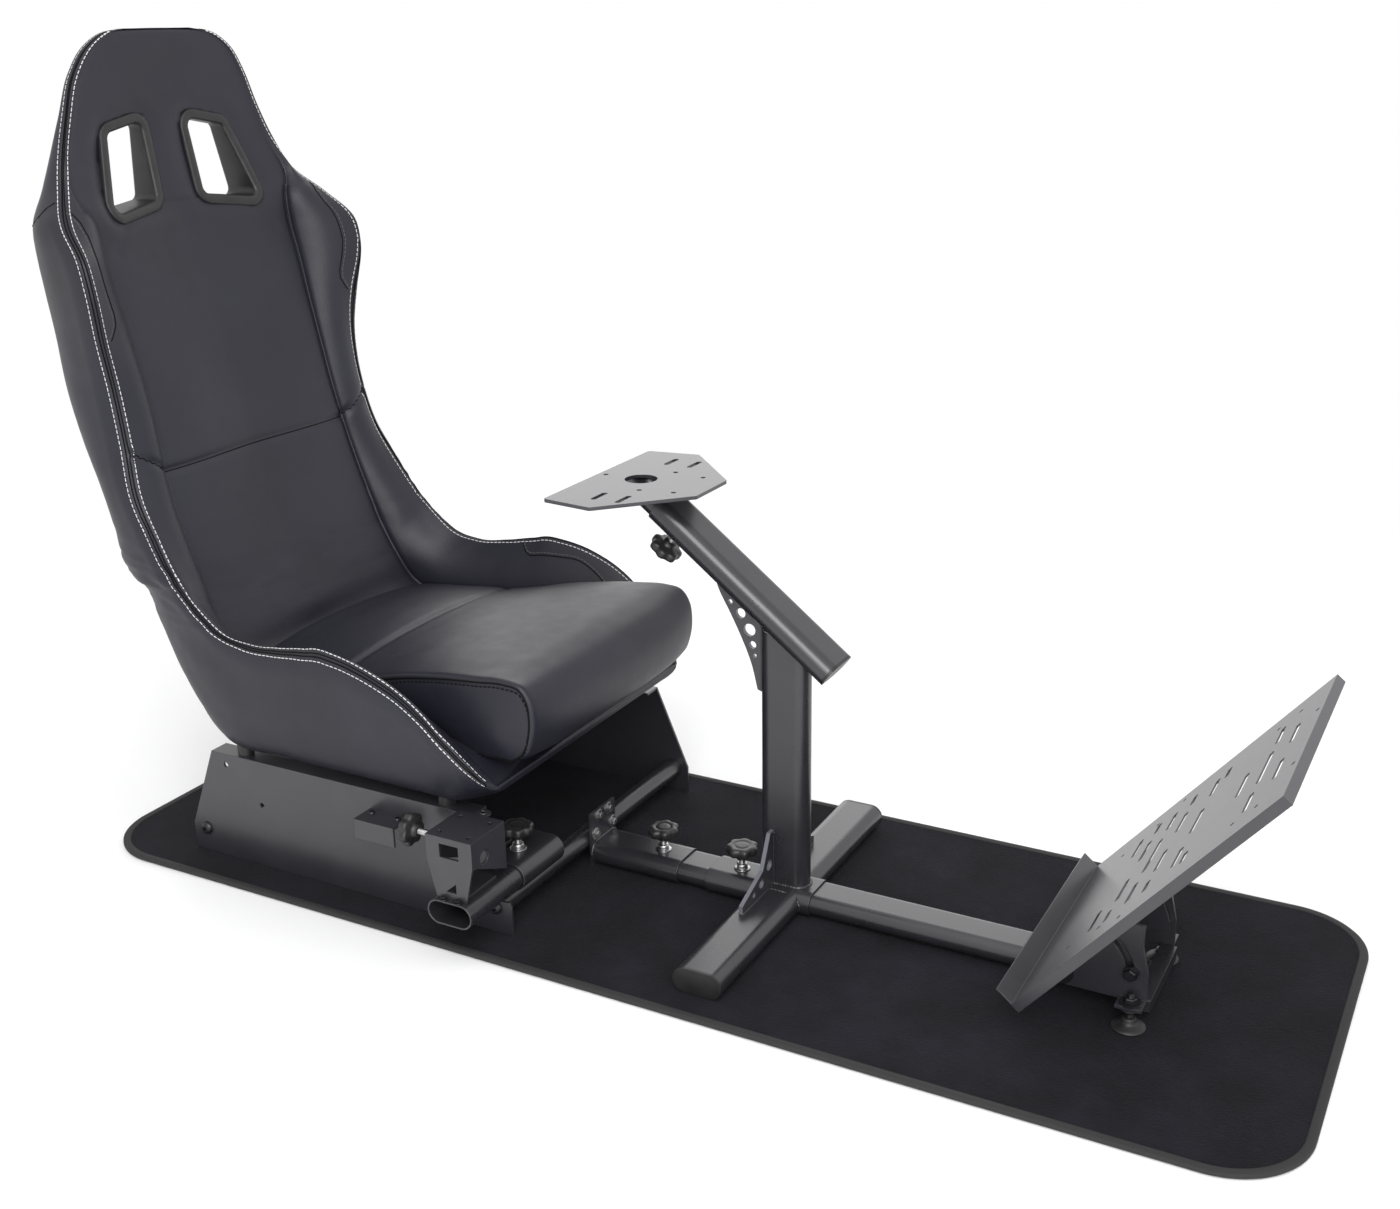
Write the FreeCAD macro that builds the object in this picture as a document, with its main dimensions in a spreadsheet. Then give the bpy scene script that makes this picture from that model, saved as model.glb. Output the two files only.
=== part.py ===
"""Sim racing cockpit on its floor mat, in millimetres.

+X is the driver's forward, +Y the driver's left and +Z up.
The origin is the centre of the mat's underside.
"""
import FreeCAD, Part
import math
import os

import Sketcher
from FreeCAD import Placement, Rotation, Vector

SIZES = {
    # Floor mat
    "mat_length": 1504,
    "mat_width": 529,
    "mat_corner": 90,
    "mat_thickness": 5,
    "binding_width": 10,
    "binding_height": 6,
    # Flat oval tube and its telescoping fit
    "tube_width": 60,
    "tube_height": 30,
    "tube_wall": 2,
    "tube_clearance": 0.3,
    "floor_gap": 0.3,
    "cap_thickness": 3,
    # Seat base
    "base_half_width": 213,
    "plate_thickness": 3,
    "plate_rear": -622,
    "plate_front": -130,
    "plate_knee": 40,
    "plate_height": 150,
    "plate_slope": 46,
    "flange_width": 26,
    "cross_radius": 12.5,
    "cross_wall": 2,
    "cross_inset": 22,
    "cross_height": 37,
    "plate_hole_radius": 3.5,
    "upper_hole_inset": 22,
    "upper_hole_drop": 15,
    "lower_hole_inset": 75,
    "lower_hole_drop": 60,
    "spacer_height": 15,
    "spacer_radius": 10,
    "spacer_inset": 46,
    "side_bracket_rear": -328,
    "side_bracket_front": -270,
    "side_bracket_reach": 30,
    "side_bracket_top": 125,
    "side_bracket_drop": 25,
    # Seat: half widths
    "panel_half": 165,
    "wing_half": 236,
    "thigh_inner_half": 190,
    "thigh_half": 243,
    "cushion_half": 180,
    # Seat: front of the back panel
    "hip_x": -565,
    "hip_z": 262,
    "lumbar_x": -648,
    "lumbar_z": 495,
    "shoulder_x": -728,
    "shoulder_z": 784,
    "head_x": -745,
    "head_z": 906,
    "crown_x": -733,
    "crown_z": 1003,
    # Seat: rear of the back
    "tail_x": -575,
    "tail_z": 215,
    "hem_x": -666,
    "hem_z": 372,
    "loin_x": -718,
    "loin_z": 512,
    "nape_x": -771,
    "nape_z": 784,
    "poll_x": -769,
    "poll_z": 896,
    "crown_depth": 22,
    # Seat: head outline, half widths from the shoulder up
    "yoke_half": 222,
    "neck_half": 173,
    "neck_z": 867,
    "temple_half": 140,
    "temple_z": 952,
    "crown_half": 93,
    # Seat: crest of the wings and thigh bolsters
    "wing_foot_x": -583,
    "waist_x": -644,
    "wing_mid_x": -655,
    "wing_mid_z": 624,
    "wing_tip_x": -647,
    "wing_tip_z": 722,
    "wing_top_x": -684,
    "curl_x": -552,
    "curl_z": 352,
    "dip_x": -490,
    "dip_z": 317,
    "hump_x": -345,
    "hump_z": 331,
    "knee_x": -222,
    "knee_z": 281,
    "nose_x": -146,
    "nose_z": 197,
    "thigh_drop": 44,
    "curl_drop": 30,
    "knee_drop": 31,
    "thigh_set_back": 22,
    "haunch_x": -601,
    "haunch_z": 270,
    # Seat: pan and cushion
    "pan_bottom": 165,
    "pan_top": 236,
    "pan_rear": -548,
    "pan_front": -190,
    "pan_lip_x": -152,
    "pan_lip_z": 188,
    "pan_top_front": -166,
    "cushion_rear": -563,
    "cushion_rear_z": 282,
    "cushion_crease_x": -375,
    "cushion_crease_z": 284,
    "cushion_crown_x": -150,
    "cushion_crown_z": 310,
    "cushion_nose_x": -100,
    "cushion_nose_z": 264,
    "cushion_lip_x": -125,
    "cushion_lip_z": 207,
    # Harness holes
    "harness_inner_top": 42,
    "harness_outer_top": 93,
    "harness_inner_bottom": 44,
    "harness_outer_bottom": 120,
    "harness_top_z": 894,
    "harness_bottom_z": 803,
    "harness_skew": 12,
    "bezel_width": 13,
    "bezel_proud": 3,
    "bezel_round": 9,
    # Main tube, along X
    "rear_tube_end": -15,
    "slide_tube_rear": -95,
    "slide_tube_front": 548,
    "sleeve_rear": 24,
    "sleeve_front": 161,
    "bracket_thickness": 4,
    "bracket_height": 70,
    "bracket_half_width": 28,
    # Column
    "post_x": 119,
    "foot_half": 227,
    "slope_angle": 37.76,
    "slope_length": 271,
    "slope_foot_x": 178,
    "slope_foot_z": 315,
    "gusset_thickness": 5,
    "gusset_foot_z": 272,
    "gusset_tip_x": 32,
    "gusset_bow": 4,
    "base_gusset_x": 105,
    "base_gusset_reach": 83,
    "base_gusset_height": 70,
    "base_gusset_toe": 10,
    "base_gusset_waist": 30,
    # Wheel plate
    "wheel_plate_top": 507,
    "wheel_plate_thickness": 4,
    "wheel_plate_rear": -123,
    "wheel_plate_rear_half": 117,
    "wheel_plate_wide": -58,
    "wheel_plate_wide_half": 126,
    "wheel_plate_front": 26,
    "wheel_plate_front_half": 36,
    "wheel_plate_corner": 4,
    "wheel_slot_length": 30,
    "wheel_slot_radius": 3.2,
    "wheel_slot_y": 82,
    "wheel_slot_rear_x": -72,
    "wheel_slot_front_x": -41,
    "wheel_cable_radius": 19,
    "wheel_cable_x": -66,
    "wheel_hole_radius": 3,
    "wheel_hole_rear_x": -113,
    "wheel_hole_mid_x": -44,
    "wheel_hole_mid_y": 42,
    "wheel_hole_front_x": -4,
    "wheel_hole_front_y": 35,
    "wheel_tube_engaged": 150,
    # Pedal deck
    "deck_heel_x": 447,
    "deck_heel_z": 53,
    "deck_angle": 50.33,
    "deck_length": 373,
    "deck_width": 322,
    "deck_thickness": 1.8,
    "deck_flange": 11.5,
    "heel_stop": 21,
    "deck_slot_radius": 3.2,
    "deck_hole_radius": 2.6,
    "pivot_x": 470,
    "pivot_z": 45,
    "pivot_radius": 5,
    "pivot_clearance": 0.3,
    "pivot_boss": 12,
    "tilt_radius": 77,
    "tilt_start": 14.3,
    "tilt_travel": 25,
    "tilt_bolt_radius": 4,
    "tilt_slot_clearance": 0.5,
    "tilt_head_radius": 8,
    "tilt_head_height": 5,
    "lug_half": 57,
    "lug_thickness": 3,
    "lug_top_rear": 36,
    "lug_top_front": 120,
    "pedal_plate_half": 64,
    "pedal_plate_thickness": 4,
    "pedal_plate_bottom": 30,
    "pedal_plate_margin": 10.4,
    "pedal_plate_toe": 7,
    "pedal_plate_top": 120,
    "foot_tab": 20,
    "foot_tab_rear": 534,
    "foot_x": 548,
    "foot_radius": 18,
    "foot_height": 12,
    "foot_stud_radius": 4,
    "foot_stud_rise": 12,
    "foot_nut_radius": 7,
    "foot_nut_height": 5,
    "cross_bar_depth": 18,
    "cross_bar_height": 15,
    # Shifter
    "shifter_x": -158,
    "shifter_reach": 79,
    "shifter_tube_inset": 101,
    "shifter_sleeve_inset": 23,
    "shifter_sleeve_length": 85,
    "notch_gap": 5,
    "stand_width": 62,
    "stand_waist": 40,
    "stand_height": 76,
    "stand_depth": 64,
    "stand_set_back": 7,
    "stand_sheet": 3,
    "stand_flange_drop": 30,
    "stand_flange_end": 60,
    "stand_window_width": 26,
    "stand_window_height": 17,
    "stand_window_drop": 8,
    "stand_notch_half": 7,
    "stand_notch_low": 9,
    "stand_notch_high": 21,
    "stand_bore_radius": 8,
    "stand_bore_y": 20,
    "stand_bore_drop": 26,
    "stand_hole_radius": 3.2,
    "stand_hole_x": 40,
    "stand_hole_y": 40,
    # Star knobs
    "knob_radius": 20,
    "knob_height": 12,
    "knob_lobes": 7,
    "knob_notch_radius": 6,
    "knob_notch_centre": 22,
    "knob_hub_radius": 8,
    "knob_hub_height": 6,
    "knob_stud_radius": 4,
    "knob_nut_radius": 7,
    "knob_nut_height": 7,
    "knob_stud_length": 14,
    "stand_stud_length": 36,
    "rear_knob_x": -49,
    "sleeve_knob_x": 60,
    "wheel_knob_inset": 33,
    "shifter_knob_inset": 59,
    "stand_knob_reach": 37,
    "stand_knob_z": 136,
}

# Pedal deck cut-outs: distance along the deck, distance each side of the middle, slot length
DECK_SIDE_SLOTS = (
    ((122, 178, 339), 47, 50),
    ((96, 150, 215, 310), 87, 45),
    ((122, 178, 230), 106, 26),
)
DECK_CENTRE_SLOTS = (((150, 310), 81), ((215, 279), 60))
DECK_HOLES = ((64, 109), (116, 124), (152, 142), (299, 122), (330, 124), (364, 71))
# Holes of the upper gusset: along X from the post, height, radius
GUSSET_HOLES = ((41, 376, 3), (28, 363, 6), (17, 345, 7.5), (13, 327, 4.5), (10, 314, 2.5))
# Holes of the base gussets: out from the post, height, radius
BASE_GUSSET_HOLES = ((14, 66, 7), (34, 51, 5.5), (54, 46, 3.5))

doc = FreeCAD.newDocument("SimRacingCockpit")
sheet = doc.addObject("Spreadsheet::Sheet", "Sizes")
for row, (alias, number) in enumerate(SIZES.items(), start=1):
    sheet.set(f"A{row}", alias)
    sheet.set(f"B{row}", str(number))
    sheet.setAlias(f"B{row}", alias)
doc.recompute()


class Size:
    """A number together with the sheet expression that gives it."""

    def __init__(self, value, text):
        self.value = value
        self.text = text

    def __add__(self, other):
        other = as_size(other)
        return Size(self.value + other.value, f"({self.text} + {other.text})")

    def __sub__(self, other):
        other = as_size(other)
        return Size(self.value - other.value, f"({self.text} - {other.text})")

    def __mul__(self, other):
        other = as_size(other)
        return Size(self.value * other.value, f"({self.text} * {other.text})")

    def __truediv__(self, other):
        other = as_size(other)
        return Size(self.value / other.value, f"({self.text} / {other.text})")

    def __neg__(self):
        return Size(-self.value, f"(0 - {self.text})")


def as_size(number):
    """Wrap a plain number so that it mixes with sizes."""
    if isinstance(number, Size):
        return number
    return Size(float(number), f"({float(number)})")


def size(alias):
    """The named size from the sheet."""
    return Size(float(sheet.get(alias)), f"Sizes.{alias}")


def sine(angle):
    """Sine of an angle in degrees."""
    return Size(math.sin(math.radians(angle.value)), f"sin({angle.text})")


def cosine(angle):
    """Cosine of an angle in degrees."""
    return Size(math.cos(math.radians(angle.value)), f"cos({angle.text})")


parts = []


def keep(part, label):
    """Name a finished sub-part and list it for writing."""
    part.Label = label
    parts.append(part)
    return part


def place(part, x=0, y=0, z=0, axis=None, angle=0):
    """Tie a sub-part's placement to the sheet."""
    if axis is not None:
        part.Placement = Placement(Vector(), Rotation(axis, as_size(angle).value))
        part.setExpression("Placement.Rotation.Angle", as_size(angle).text)
    for name, distance in zip("xyz", (x, y, z)):
        part.setExpression(f"Placement.Base.{name}", as_size(distance).text)
    return part


def new_body(name):
    """An empty body."""
    return doc.addObject("PartDesign::Body", name)


def new_sketch(body, plane, offset=0):
    """A sketch on one of the body's own planes, moved along the plane's normal."""
    sketch = body.newObject("Sketcher::SketchObject", f"{body.Name}_sketch")
    support = [item for item in body.Origin.OriginFeatures if item.Role == f"{plane}_Plane"]
    sketch.AttachmentSupport = (support[0], [""])
    sketch.MapMode = "FlatFace"
    sketch.setExpression("AttachmentOffset.Base.z", as_size(offset).text)
    return sketch


def tie(sketch, kind, where, distance):
    """A constraint whose value comes from the sheet."""
    distance = as_size(distance)
    index = sketch.addConstraint(Sketcher.Constraint(kind, *where, distance.value))
    sketch.setExpression(f"Constraints[{index}]", distance.text)


def tie_point(sketch, geometry, point, x, y):
    """Tie one point of a sketch to the sketch's origin."""
    tie(sketch, "DistanceX", (-1, 1, geometry, point), x)
    tie(sketch, "DistanceY", (-1, 1, geometry, point), y)


def draw_polygon(sketch, corners):
    """A closed outline of straight edges, every corner tied to the sheet."""
    corners = [(as_size(x), as_size(y)) for x, y in corners]
    vectors = [Vector(x.value, y.value, 0) for x, y in corners]
    edges = []
    for start, end in zip(vectors, vectors[1:] + vectors[:1]):
        edges.append(sketch.addGeometry(Part.LineSegment(start, end)))
    for edge, following in zip(edges, edges[1:] + edges[:1]):
        sketch.addConstraint(Sketcher.Constraint("Coincident", edge, 2, following, 1))
    for edge, (x, y) in zip(edges, corners):
        tie_point(sketch, edge, 1, x, y)


def draw_rectangle(sketch, x_low, x_high, y_low, y_high):
    """A rectangle between two corners."""
    draw_polygon(sketch, ((x_low, y_low), (x_high, y_low), (x_high, y_high), (x_low, y_high)))


def draw_circle(sketch, x, y, radius):
    """A circle tied at its centre and radius."""
    x, y, radius = as_size(x), as_size(y), as_size(radius)
    circle = sketch.addGeometry(Part.Circle(Vector(x.value, y.value, 0), Vector(0, 0, 1), radius.value))
    tie_point(sketch, circle, 3, x, y)
    tie(sketch, "Radius", (circle,), radius)


def draw_slot(sketch, x, y, length, radius, along):
    """A round-ended slot whose middle is at x, y and which runs along "x" or "y"."""
    x, y, length, radius = as_size(x), as_size(y), as_size(length), as_size(radius)
    reach = length / 2 - radius
    turn = 0 if along == "x" else math.pi / 2
    ahead = (reach, as_size(0)) if along == "x" else (as_size(0), reach)
    ends = []
    for sign, start in ((1, -math.pi / 2), (-1, math.pi / 2)):
        centre = (x + ahead[0] * sign, y + ahead[1] * sign)
        circle = Part.Circle(Vector(centre[0].value, centre[1].value, 0), Vector(0, 0, 1), radius.value)
        arc = sketch.addGeometry(Part.ArcOfCircle(circle, start + turn, start + turn + math.pi))
        ends.append((arc, centre))
    for (arc, _), (other, _) in (ends, ends[::-1]):
        tail = sketch.getPoint(arc, 2)
        head = sketch.getPoint(other, 1)
        side = sketch.addGeometry(Part.LineSegment(tail, head))
        sketch.addConstraint(Sketcher.Constraint("Tangent", arc, 2, side, 1))
        sketch.addConstraint(Sketcher.Constraint("Tangent", side, 2, other, 1))
    for arc, centre in ends:
        tie_point(sketch, arc, 3, *centre)
    tie(sketch, "Radius", (ends[0][0],), radius)


def pad(body, sketch, length, backward=False):
    """Extrude a sketch along its normal, or against it."""
    feature = body.newObject("PartDesign::Pad", f"{body.Name}_pad")
    feature.Profile = sketch
    feature.setExpression("Length", as_size(length).text)
    feature.Reversed = backward
    return feature


def pocket_through(body, sketch):
    """Cut a sketch through the whole body, both ways."""
    feature = body.newObject("PartDesign::Pocket", f"{body.Name}_pocket")
    feature.Profile = sketch
    feature.Type = "ThroughAll"
    feature.SideType = "Symmetric"
    return feature


def one_wall(pocket, thickness):
    """Stop a pocket once it is through the first wall."""
    pocket.SideType = "One side"
    pocket.Type = "Length"
    pocket.setExpression("Length", thickness.text)


def round_edges(body, base, radius, direction):
    """Round the straight edges of a feature that run along one direction."""
    doc.recompute()
    names = []
    for number, edge in enumerate(base.Shape.Edges, start=1):
        along = edge.tangentAt(edge.FirstParameter)
        if isinstance(edge.Curve, Part.Line) and abs(along.dot(direction)) > 0.999:
            names.append(f"Edge{number}")
    feature = body.newObject("PartDesign::Fillet", f"{body.Name}_fillet")
    feature.Base = (base, names)
    feature.setExpression("Radius", as_size(radius).text)
    return feature


def join(kind, base, tool, name):
    """A boolean of two objects."""
    result = doc.addObject(kind, name)
    result.Base = base
    result.Tool = tool
    return result


def fuse(name, pieces):
    """One object from several that touch or stand apart."""
    result = doc.addObject("Part::MultiFuse", name)
    result.Shapes = pieces
    return result


def solid_part(label, shape):
    """A sub-part made directly from a shape."""
    feature = doc.addObject("Part::Feature", label)
    feature.Shape = shape
    feature.Placement = Placement()
    return keep(feature, label)


def oval_bar(name, plane, width, height, length, backward=False):
    """A bar of flat oval section, wide along the plane's first axis."""
    body = new_body(name)
    sketch = new_sketch(body, plane)
    draw_slot(sketch, 0, 0, width, height / 2, "x")
    pad(body, sketch, length, backward)
    return body


def oval_tube(name, plane, width, height, wall, length, backward=False):
    """A tube of flat oval section, wide along the plane's first axis."""
    body = new_body(name)
    sketch = new_sketch(body, plane)
    draw_slot(sketch, 0, 0, width, height / 2, "x")
    draw_slot(sketch, 0, 0, width - wall * 2, height / 2 - wall, "x")
    pad(body, sketch, length, backward)
    return body


def flat_plate(name, plane, corners, thickness, circles=()):
    """A sheet of one thickness with round holes."""
    body = new_body(name)
    sketch = new_sketch(body, plane)
    draw_polygon(sketch, corners)
    pad(body, sketch, thickness)
    if circles:
        cuts = new_sketch(body, plane)
        for x, y, radius in circles:
            draw_circle(cuts, x, y, radius)
        pocket_through(body, cuts)
    return body


# Shared sizes
tube_width = size("tube_width")
tube_height = size("tube_height")
tube_wall = size("tube_wall")
tube_step = tube_wall + size("tube_clearance")
inner_width = tube_width - tube_step * 2
inner_height = tube_height - tube_step * 2
mat_top = size("mat_thickness")
tube_z = mat_top + size("floor_gap") + tube_height / 2
tube_top = tube_z + tube_height / 2
front_cross_x = size("plate_front") - size("cross_inset")
rear_cross_x = size("plate_rear") + size("cross_inset")
shifter_sleeve_height = tube_height + tube_step * 2
shifter_z = size("cross_height") + size("cross_radius") + shifter_sleeve_height / 2
base_right = size("base_half_width") * -1
shifter_end = base_right - size("shifter_reach")
slope = size("slope_angle")
slope_up_x = -cosine(slope)
slope_up_z = sine(slope)
AXIS_X = Vector(1, 0, 0)
AXIS_Y = Vector(0, 1, 0)
AXIS_Z = Vector(0, 0, 1)


def rounded_slab(name, length, width, corner, thickness):
    """A flat slab with round corners, centred on the origin."""
    body = new_body(name)
    sketch = new_sketch(body, "XY")
    draw_rectangle(sketch, -length / 2, length / 2, -width / 2, width / 2)
    base = pad(body, sketch, thickness)
    round_edges(body, base, corner, AXIS_Z)
    return body


def make_mat():
    """The carpet mat and the binding sewn round its edge."""
    length = size("mat_length")
    width = size("mat_width")
    corner = size("mat_corner")
    border = size("binding_width")
    mat = rounded_slab("mat", length - border * 2, width - border * 2, corner - border, mat_top)
    outer = rounded_slab("binding_outer", length, width, corner, size("binding_height"))
    inner = rounded_slab("binding_inner", length - border * 2, width - border * 2, corner - border,
                         size("binding_height"))
    keep(mat, "floor_mat")
    keep(join("Part::Cut", outer, inner, "binding"), "mat_binding")


def make_side_plate(label, outward):
    """A folded side plate of the seat base: web, top flange, holes and, on the right, the shifter notch."""
    half = size("base_half_width")
    sheet_metal = size("plate_thickness")
    rear = size("plate_rear")
    front = size("plate_front")
    top = size("plate_height")
    top_rear = rear + size("plate_slope")
    top_front = front - size("plate_slope")
    body = new_body(label)
    web = new_sketch(body, "XZ")
    draw_polygon(web, (
        (rear, mat_top),
        (front, mat_top),
        (front, size("plate_knee")),
        (top_front, top),
        (top_rear, top),
        (rear, size("plate_knee")),
    ))
    pad(body, web, sheet_metal)
    flange_start = sheet_metal - size("flange_width") if outward < 0 else 0
    flange = new_sketch(body, "XZ", flange_start)
    draw_rectangle(flange, top_rear, top_front, top - sheet_metal, top)
    pad(body, flange, size("flange_width"))
    cuts = new_sketch(body, "XZ")
    for inset, drop in (("upper_hole_inset", "upper_hole_drop"), ("lower_hole_inset", "lower_hole_drop")):
        draw_circle(cuts, top_rear + size(inset), top - size(drop), size("plate_hole_radius"))
    y = half
    if outward < 0:
        y = sheet_metal - half
        gap = size("notch_gap")
        notch_low = shifter_z - tube_height / 2 - gap
        notch_rear = size("shifter_x") - tube_width / 2 - gap
        draw_rectangle(cuts, notch_rear, front + gap, notch_low, shifter_z + tube_height / 2 + gap)
    pocket_through(body, cuts)
    place(body, y=y)
    keep(body, label)


def make_round_tube(label, radius, wall, length, x, z):
    """A round cross tube between the side plates."""
    outer = doc.addObject("Part::Cylinder", f"{label}_outer")
    bore = doc.addObject("Part::Cylinder", f"{label}_bore")
    outer.setExpression("Radius", radius.text)
    bore.setExpression("Radius", (radius - wall).text)
    for cylinder in (outer, bore):
        cylinder.setExpression("Height", length.text)
    tube = join("Part::Cut", outer, bore, label)
    place(tube, x, length / 2, z, AXIS_X, 90)
    keep(tube, label)


def make_seat_base():
    """Side plates, cross tubes, seat spacers and the folded side bracket."""
    half = size("base_half_width")
    sheet_metal = size("plate_thickness")
    make_side_plate("right_side_plate", -1)
    make_side_plate("left_side_plate", 1)
    span = (half - sheet_metal) * 2
    for label, x in (("front_cross_tube", front_cross_x), ("rear_cross_tube", rear_cross_x)):
        make_round_tube(label, size("cross_radius"), size("cross_wall"), span, x, size("cross_height"))
    spacers = []
    spacer_y = half - size("flange_width") / 2
    top_rear = size("plate_rear") + size("plate_slope")
    top_front = size("plate_front") - size("plate_slope")
    for x in (top_rear + size("spacer_inset"), top_front - size("spacer_inset")):
        for side in (-1, 1):
            spacer = doc.addObject("Part::Cylinder", "spacer")
            spacer.setExpression("Radius", "Sizes.spacer_radius")
            spacer.setExpression("Height", "Sizes.spacer_height")
            place(spacer, x, spacer_y * side, size("plate_height"))
            spacers.append(spacer)
    keep(fuse("spacers", spacers), "seat_spacers")
    make_side_bracket(half, sheet_metal)


def make_side_bracket(half, sheet_metal):
    """The folded bracket on the right side plate: a top leg and a hanging front leg."""
    body = new_body("side_bracket")
    rear = size("side_bracket_rear")
    front = size("side_bracket_front")
    top = size("side_bracket_top")
    reach = size("side_bracket_reach")
    leg = new_sketch(body, "XZ")
    draw_rectangle(leg, rear, front, top - sheet_metal, top)
    pad(body, leg, reach)
    lip = new_sketch(body, "XZ", reach - sheet_metal)
    draw_rectangle(lip, rear, front, top - size("side_bracket_drop"), top)
    pad(body, lip, sheet_metal)
    place(body, y=-half)
    keep(body, "side_bracket")


def spline(points):
    """A smooth edge through points."""
    curve = Part.BSplineCurve()
    curve.interpolate(points)
    return curve.toShape()


def outline(chains):
    """A closed wire from chains of points; a chain of two points is straight, a longer one smooth."""
    edges = []
    for chain in chains:
        if len(chain) == 2:
            edges.append(Part.makeLine(*chain))
        else:
            edges.append(spline(chain))
    return Part.Wire(Part.__sortEdges__(edges))


def value(alias):
    """The plain number of a named size."""
    return size(alias).value


def side_point(alias, y):
    """A point of the seat's side profile, from the sizes ALIAS_x and ALIAS_z."""
    return Vector(value(f"{alias}_x"), y, value(f"{alias}_z"))


def panel_front(y):
    """The front of the back panel from the hip to the shoulder seam."""
    return [side_point(name, y) for name in ("hip", "lumbar", "shoulder")]


def back_rear(y):
    """The rear of the back from the shoulder seam down to the cover's hem."""
    return [side_point(name, y) for name in ("nape", "loin", "hem")]


def point_at_height(edge, z):
    """The point of a rising edge at one height."""
    extent = value("mat_length") * 2
    level = Part.makePlane(extent, extent, Vector(-extent / 2, -extent / 2, z), AXIS_Z)
    return edge.distToShape(level)[1][0][0]


def backrest_slab():
    """The backrest's side profile drawn out along Y."""
    reach = value("yoke_half") * 2
    crown = side_point("crown", -reach)
    crown_rear = crown - Vector(value("crown_depth"), 0, 0)
    hip = side_point("hip", -reach)
    tail = side_point("tail", -reach)
    front = [hip] + panel_front(-reach)[1:] + [side_point("head", -reach), crown]
    rear = [crown_rear, side_point("poll", -reach)] + back_rear(-reach) + [tail]
    profile = outline((front, (crown, crown_rear), rear, (tail, hip)))
    return Part.Face(profile).extrude(Vector(0, reach * 2, 0))


def make_backrest():
    """Back panel and headrest in one pad: side profile and front outline in common, harness holes cut."""
    pad_shape = backrest_slab().common(backrest_front_prism())
    for side in (-1, 1):
        pad_shape = pad_shape.cut(harness_prism(side, value("bezel_width")))
    solid_part("backrest", pad_shape.Solids[0])


def backrest_front_prism():
    """The backrest's outline seen from the front, drawn out along X."""
    hip, panel, yoke = value("thigh_inner_half"), value("panel_half"), value("yoke_half")
    hem, seam = value("hem_z"), value("shoulder_z")
    low, high = value("tail_z") - 1, value("crown_z") + 1
    far = value("mat_length")

    def at(y, z):
        return Vector(-far, y, z)

    right_head = [at(-yoke, seam), at(-value("neck_half"), value("neck_z")),
                  at(-value("temple_half"), value("temple_z")), at(-value("crown_half"), high)]
    left_head = [Vector(p.x, -p.y, p.z) for p in reversed(right_head)]
    chains = [
        (at(-hip, low), at(-hip, hem)),
        (at(-hip, hem), at(-panel, hem)),
        (at(-panel, hem), at(-panel, seam)),
        (at(-panel, seam), right_head[0]),
        right_head,
        (right_head[-1], left_head[0]),
        left_head,
        (left_head[-1], at(panel, seam)),
        (at(panel, seam), at(panel, hem)),
        (at(panel, hem), at(hip, hem)),
        (at(hip, hem), at(hip, low)),
        (at(hip, low), at(-hip, low)),
    ]
    return Part.Face(outline(chains)).extrude(Vector(far, 0, 0))


def harness_wire(side, grow):
    """The outline of one harness hole at X = 0, grown evenly all round, with rounded corners."""
    skew = value("harness_skew")
    corners = [
        Vector(0, side * value("harness_inner_top"), value("harness_top_z")),
        Vector(0, side * value("harness_outer_top"), value("harness_top_z") - skew),
        Vector(0, side * value("harness_outer_bottom"), value("harness_bottom_z") - skew),
        Vector(0, side * value("harness_inner_bottom"), value("harness_bottom_z")),
    ]
    hole = Part.makePolygon(corners + corners[:1])
    rounding = value("bezel_round")
    return hole.makeOffset2D(-rounding, 2).makeOffset2D(rounding + grow, 0)


def harness_prism(side, grow):
    """A bar through the backrest with the section of one harness hole."""
    wire = harness_wire(side, grow)
    far = value("mat_length")
    wire.translate(Vector(-far, 0, 0))
    return Part.Face(wire).extrude(Vector(far, 0, 0))


def make_bezel(label, side):
    """The plastic frame that lines one harness hole, just proud of the cover on both faces."""
    proud = Vector(value("bezel_proud"), 0, 0)
    ring = harness_prism(side, value("bezel_width")).cut(harness_prism(side, 0))
    halves = [ring.common(backrest_slab().translated(step)) for step in (proud, -proud)]
    solid_part(label, halves[0].fuse(halves[1]).removeSplitter().Solids[0])


def make_wing(label, side):
    """One side wing of the back, from the panel seam out to its stitched crest."""
    inner, outer = side * value("panel_half"), side * value("wing_half")
    hem, seam = value("hem_z"), value("shoulder_z")
    panel = spline(panel_front(inner))
    foot = point_at_height(panel, hem)
    inner_heights = (value("lumbar_z"), value("wing_mid_z"), value("wing_tip_z"))
    inner_front = [foot] + [point_at_height(panel, z) for z in inner_heights] + [side_point("shoulder", inner)]
    outer_front = [
        Vector(value("wing_foot_x"), outer, hem),
        Vector(value("waist_x"), outer, value("lumbar_z")),
        side_point("wing_mid", outer),
        side_point("wing_tip", outer),
        Vector(value("wing_top_x"), outer, seam),
    ]
    sections = []
    for front, y in ((inner_front, inner), (outer_front, outer)):
        rear = back_rear(y)
        sections.append(outline((front, (front[-1], rear[0]), rear, (rear[-1], front[0]))))
    solid_part(label, Part.makeLoft(sections, True, True))


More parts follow.
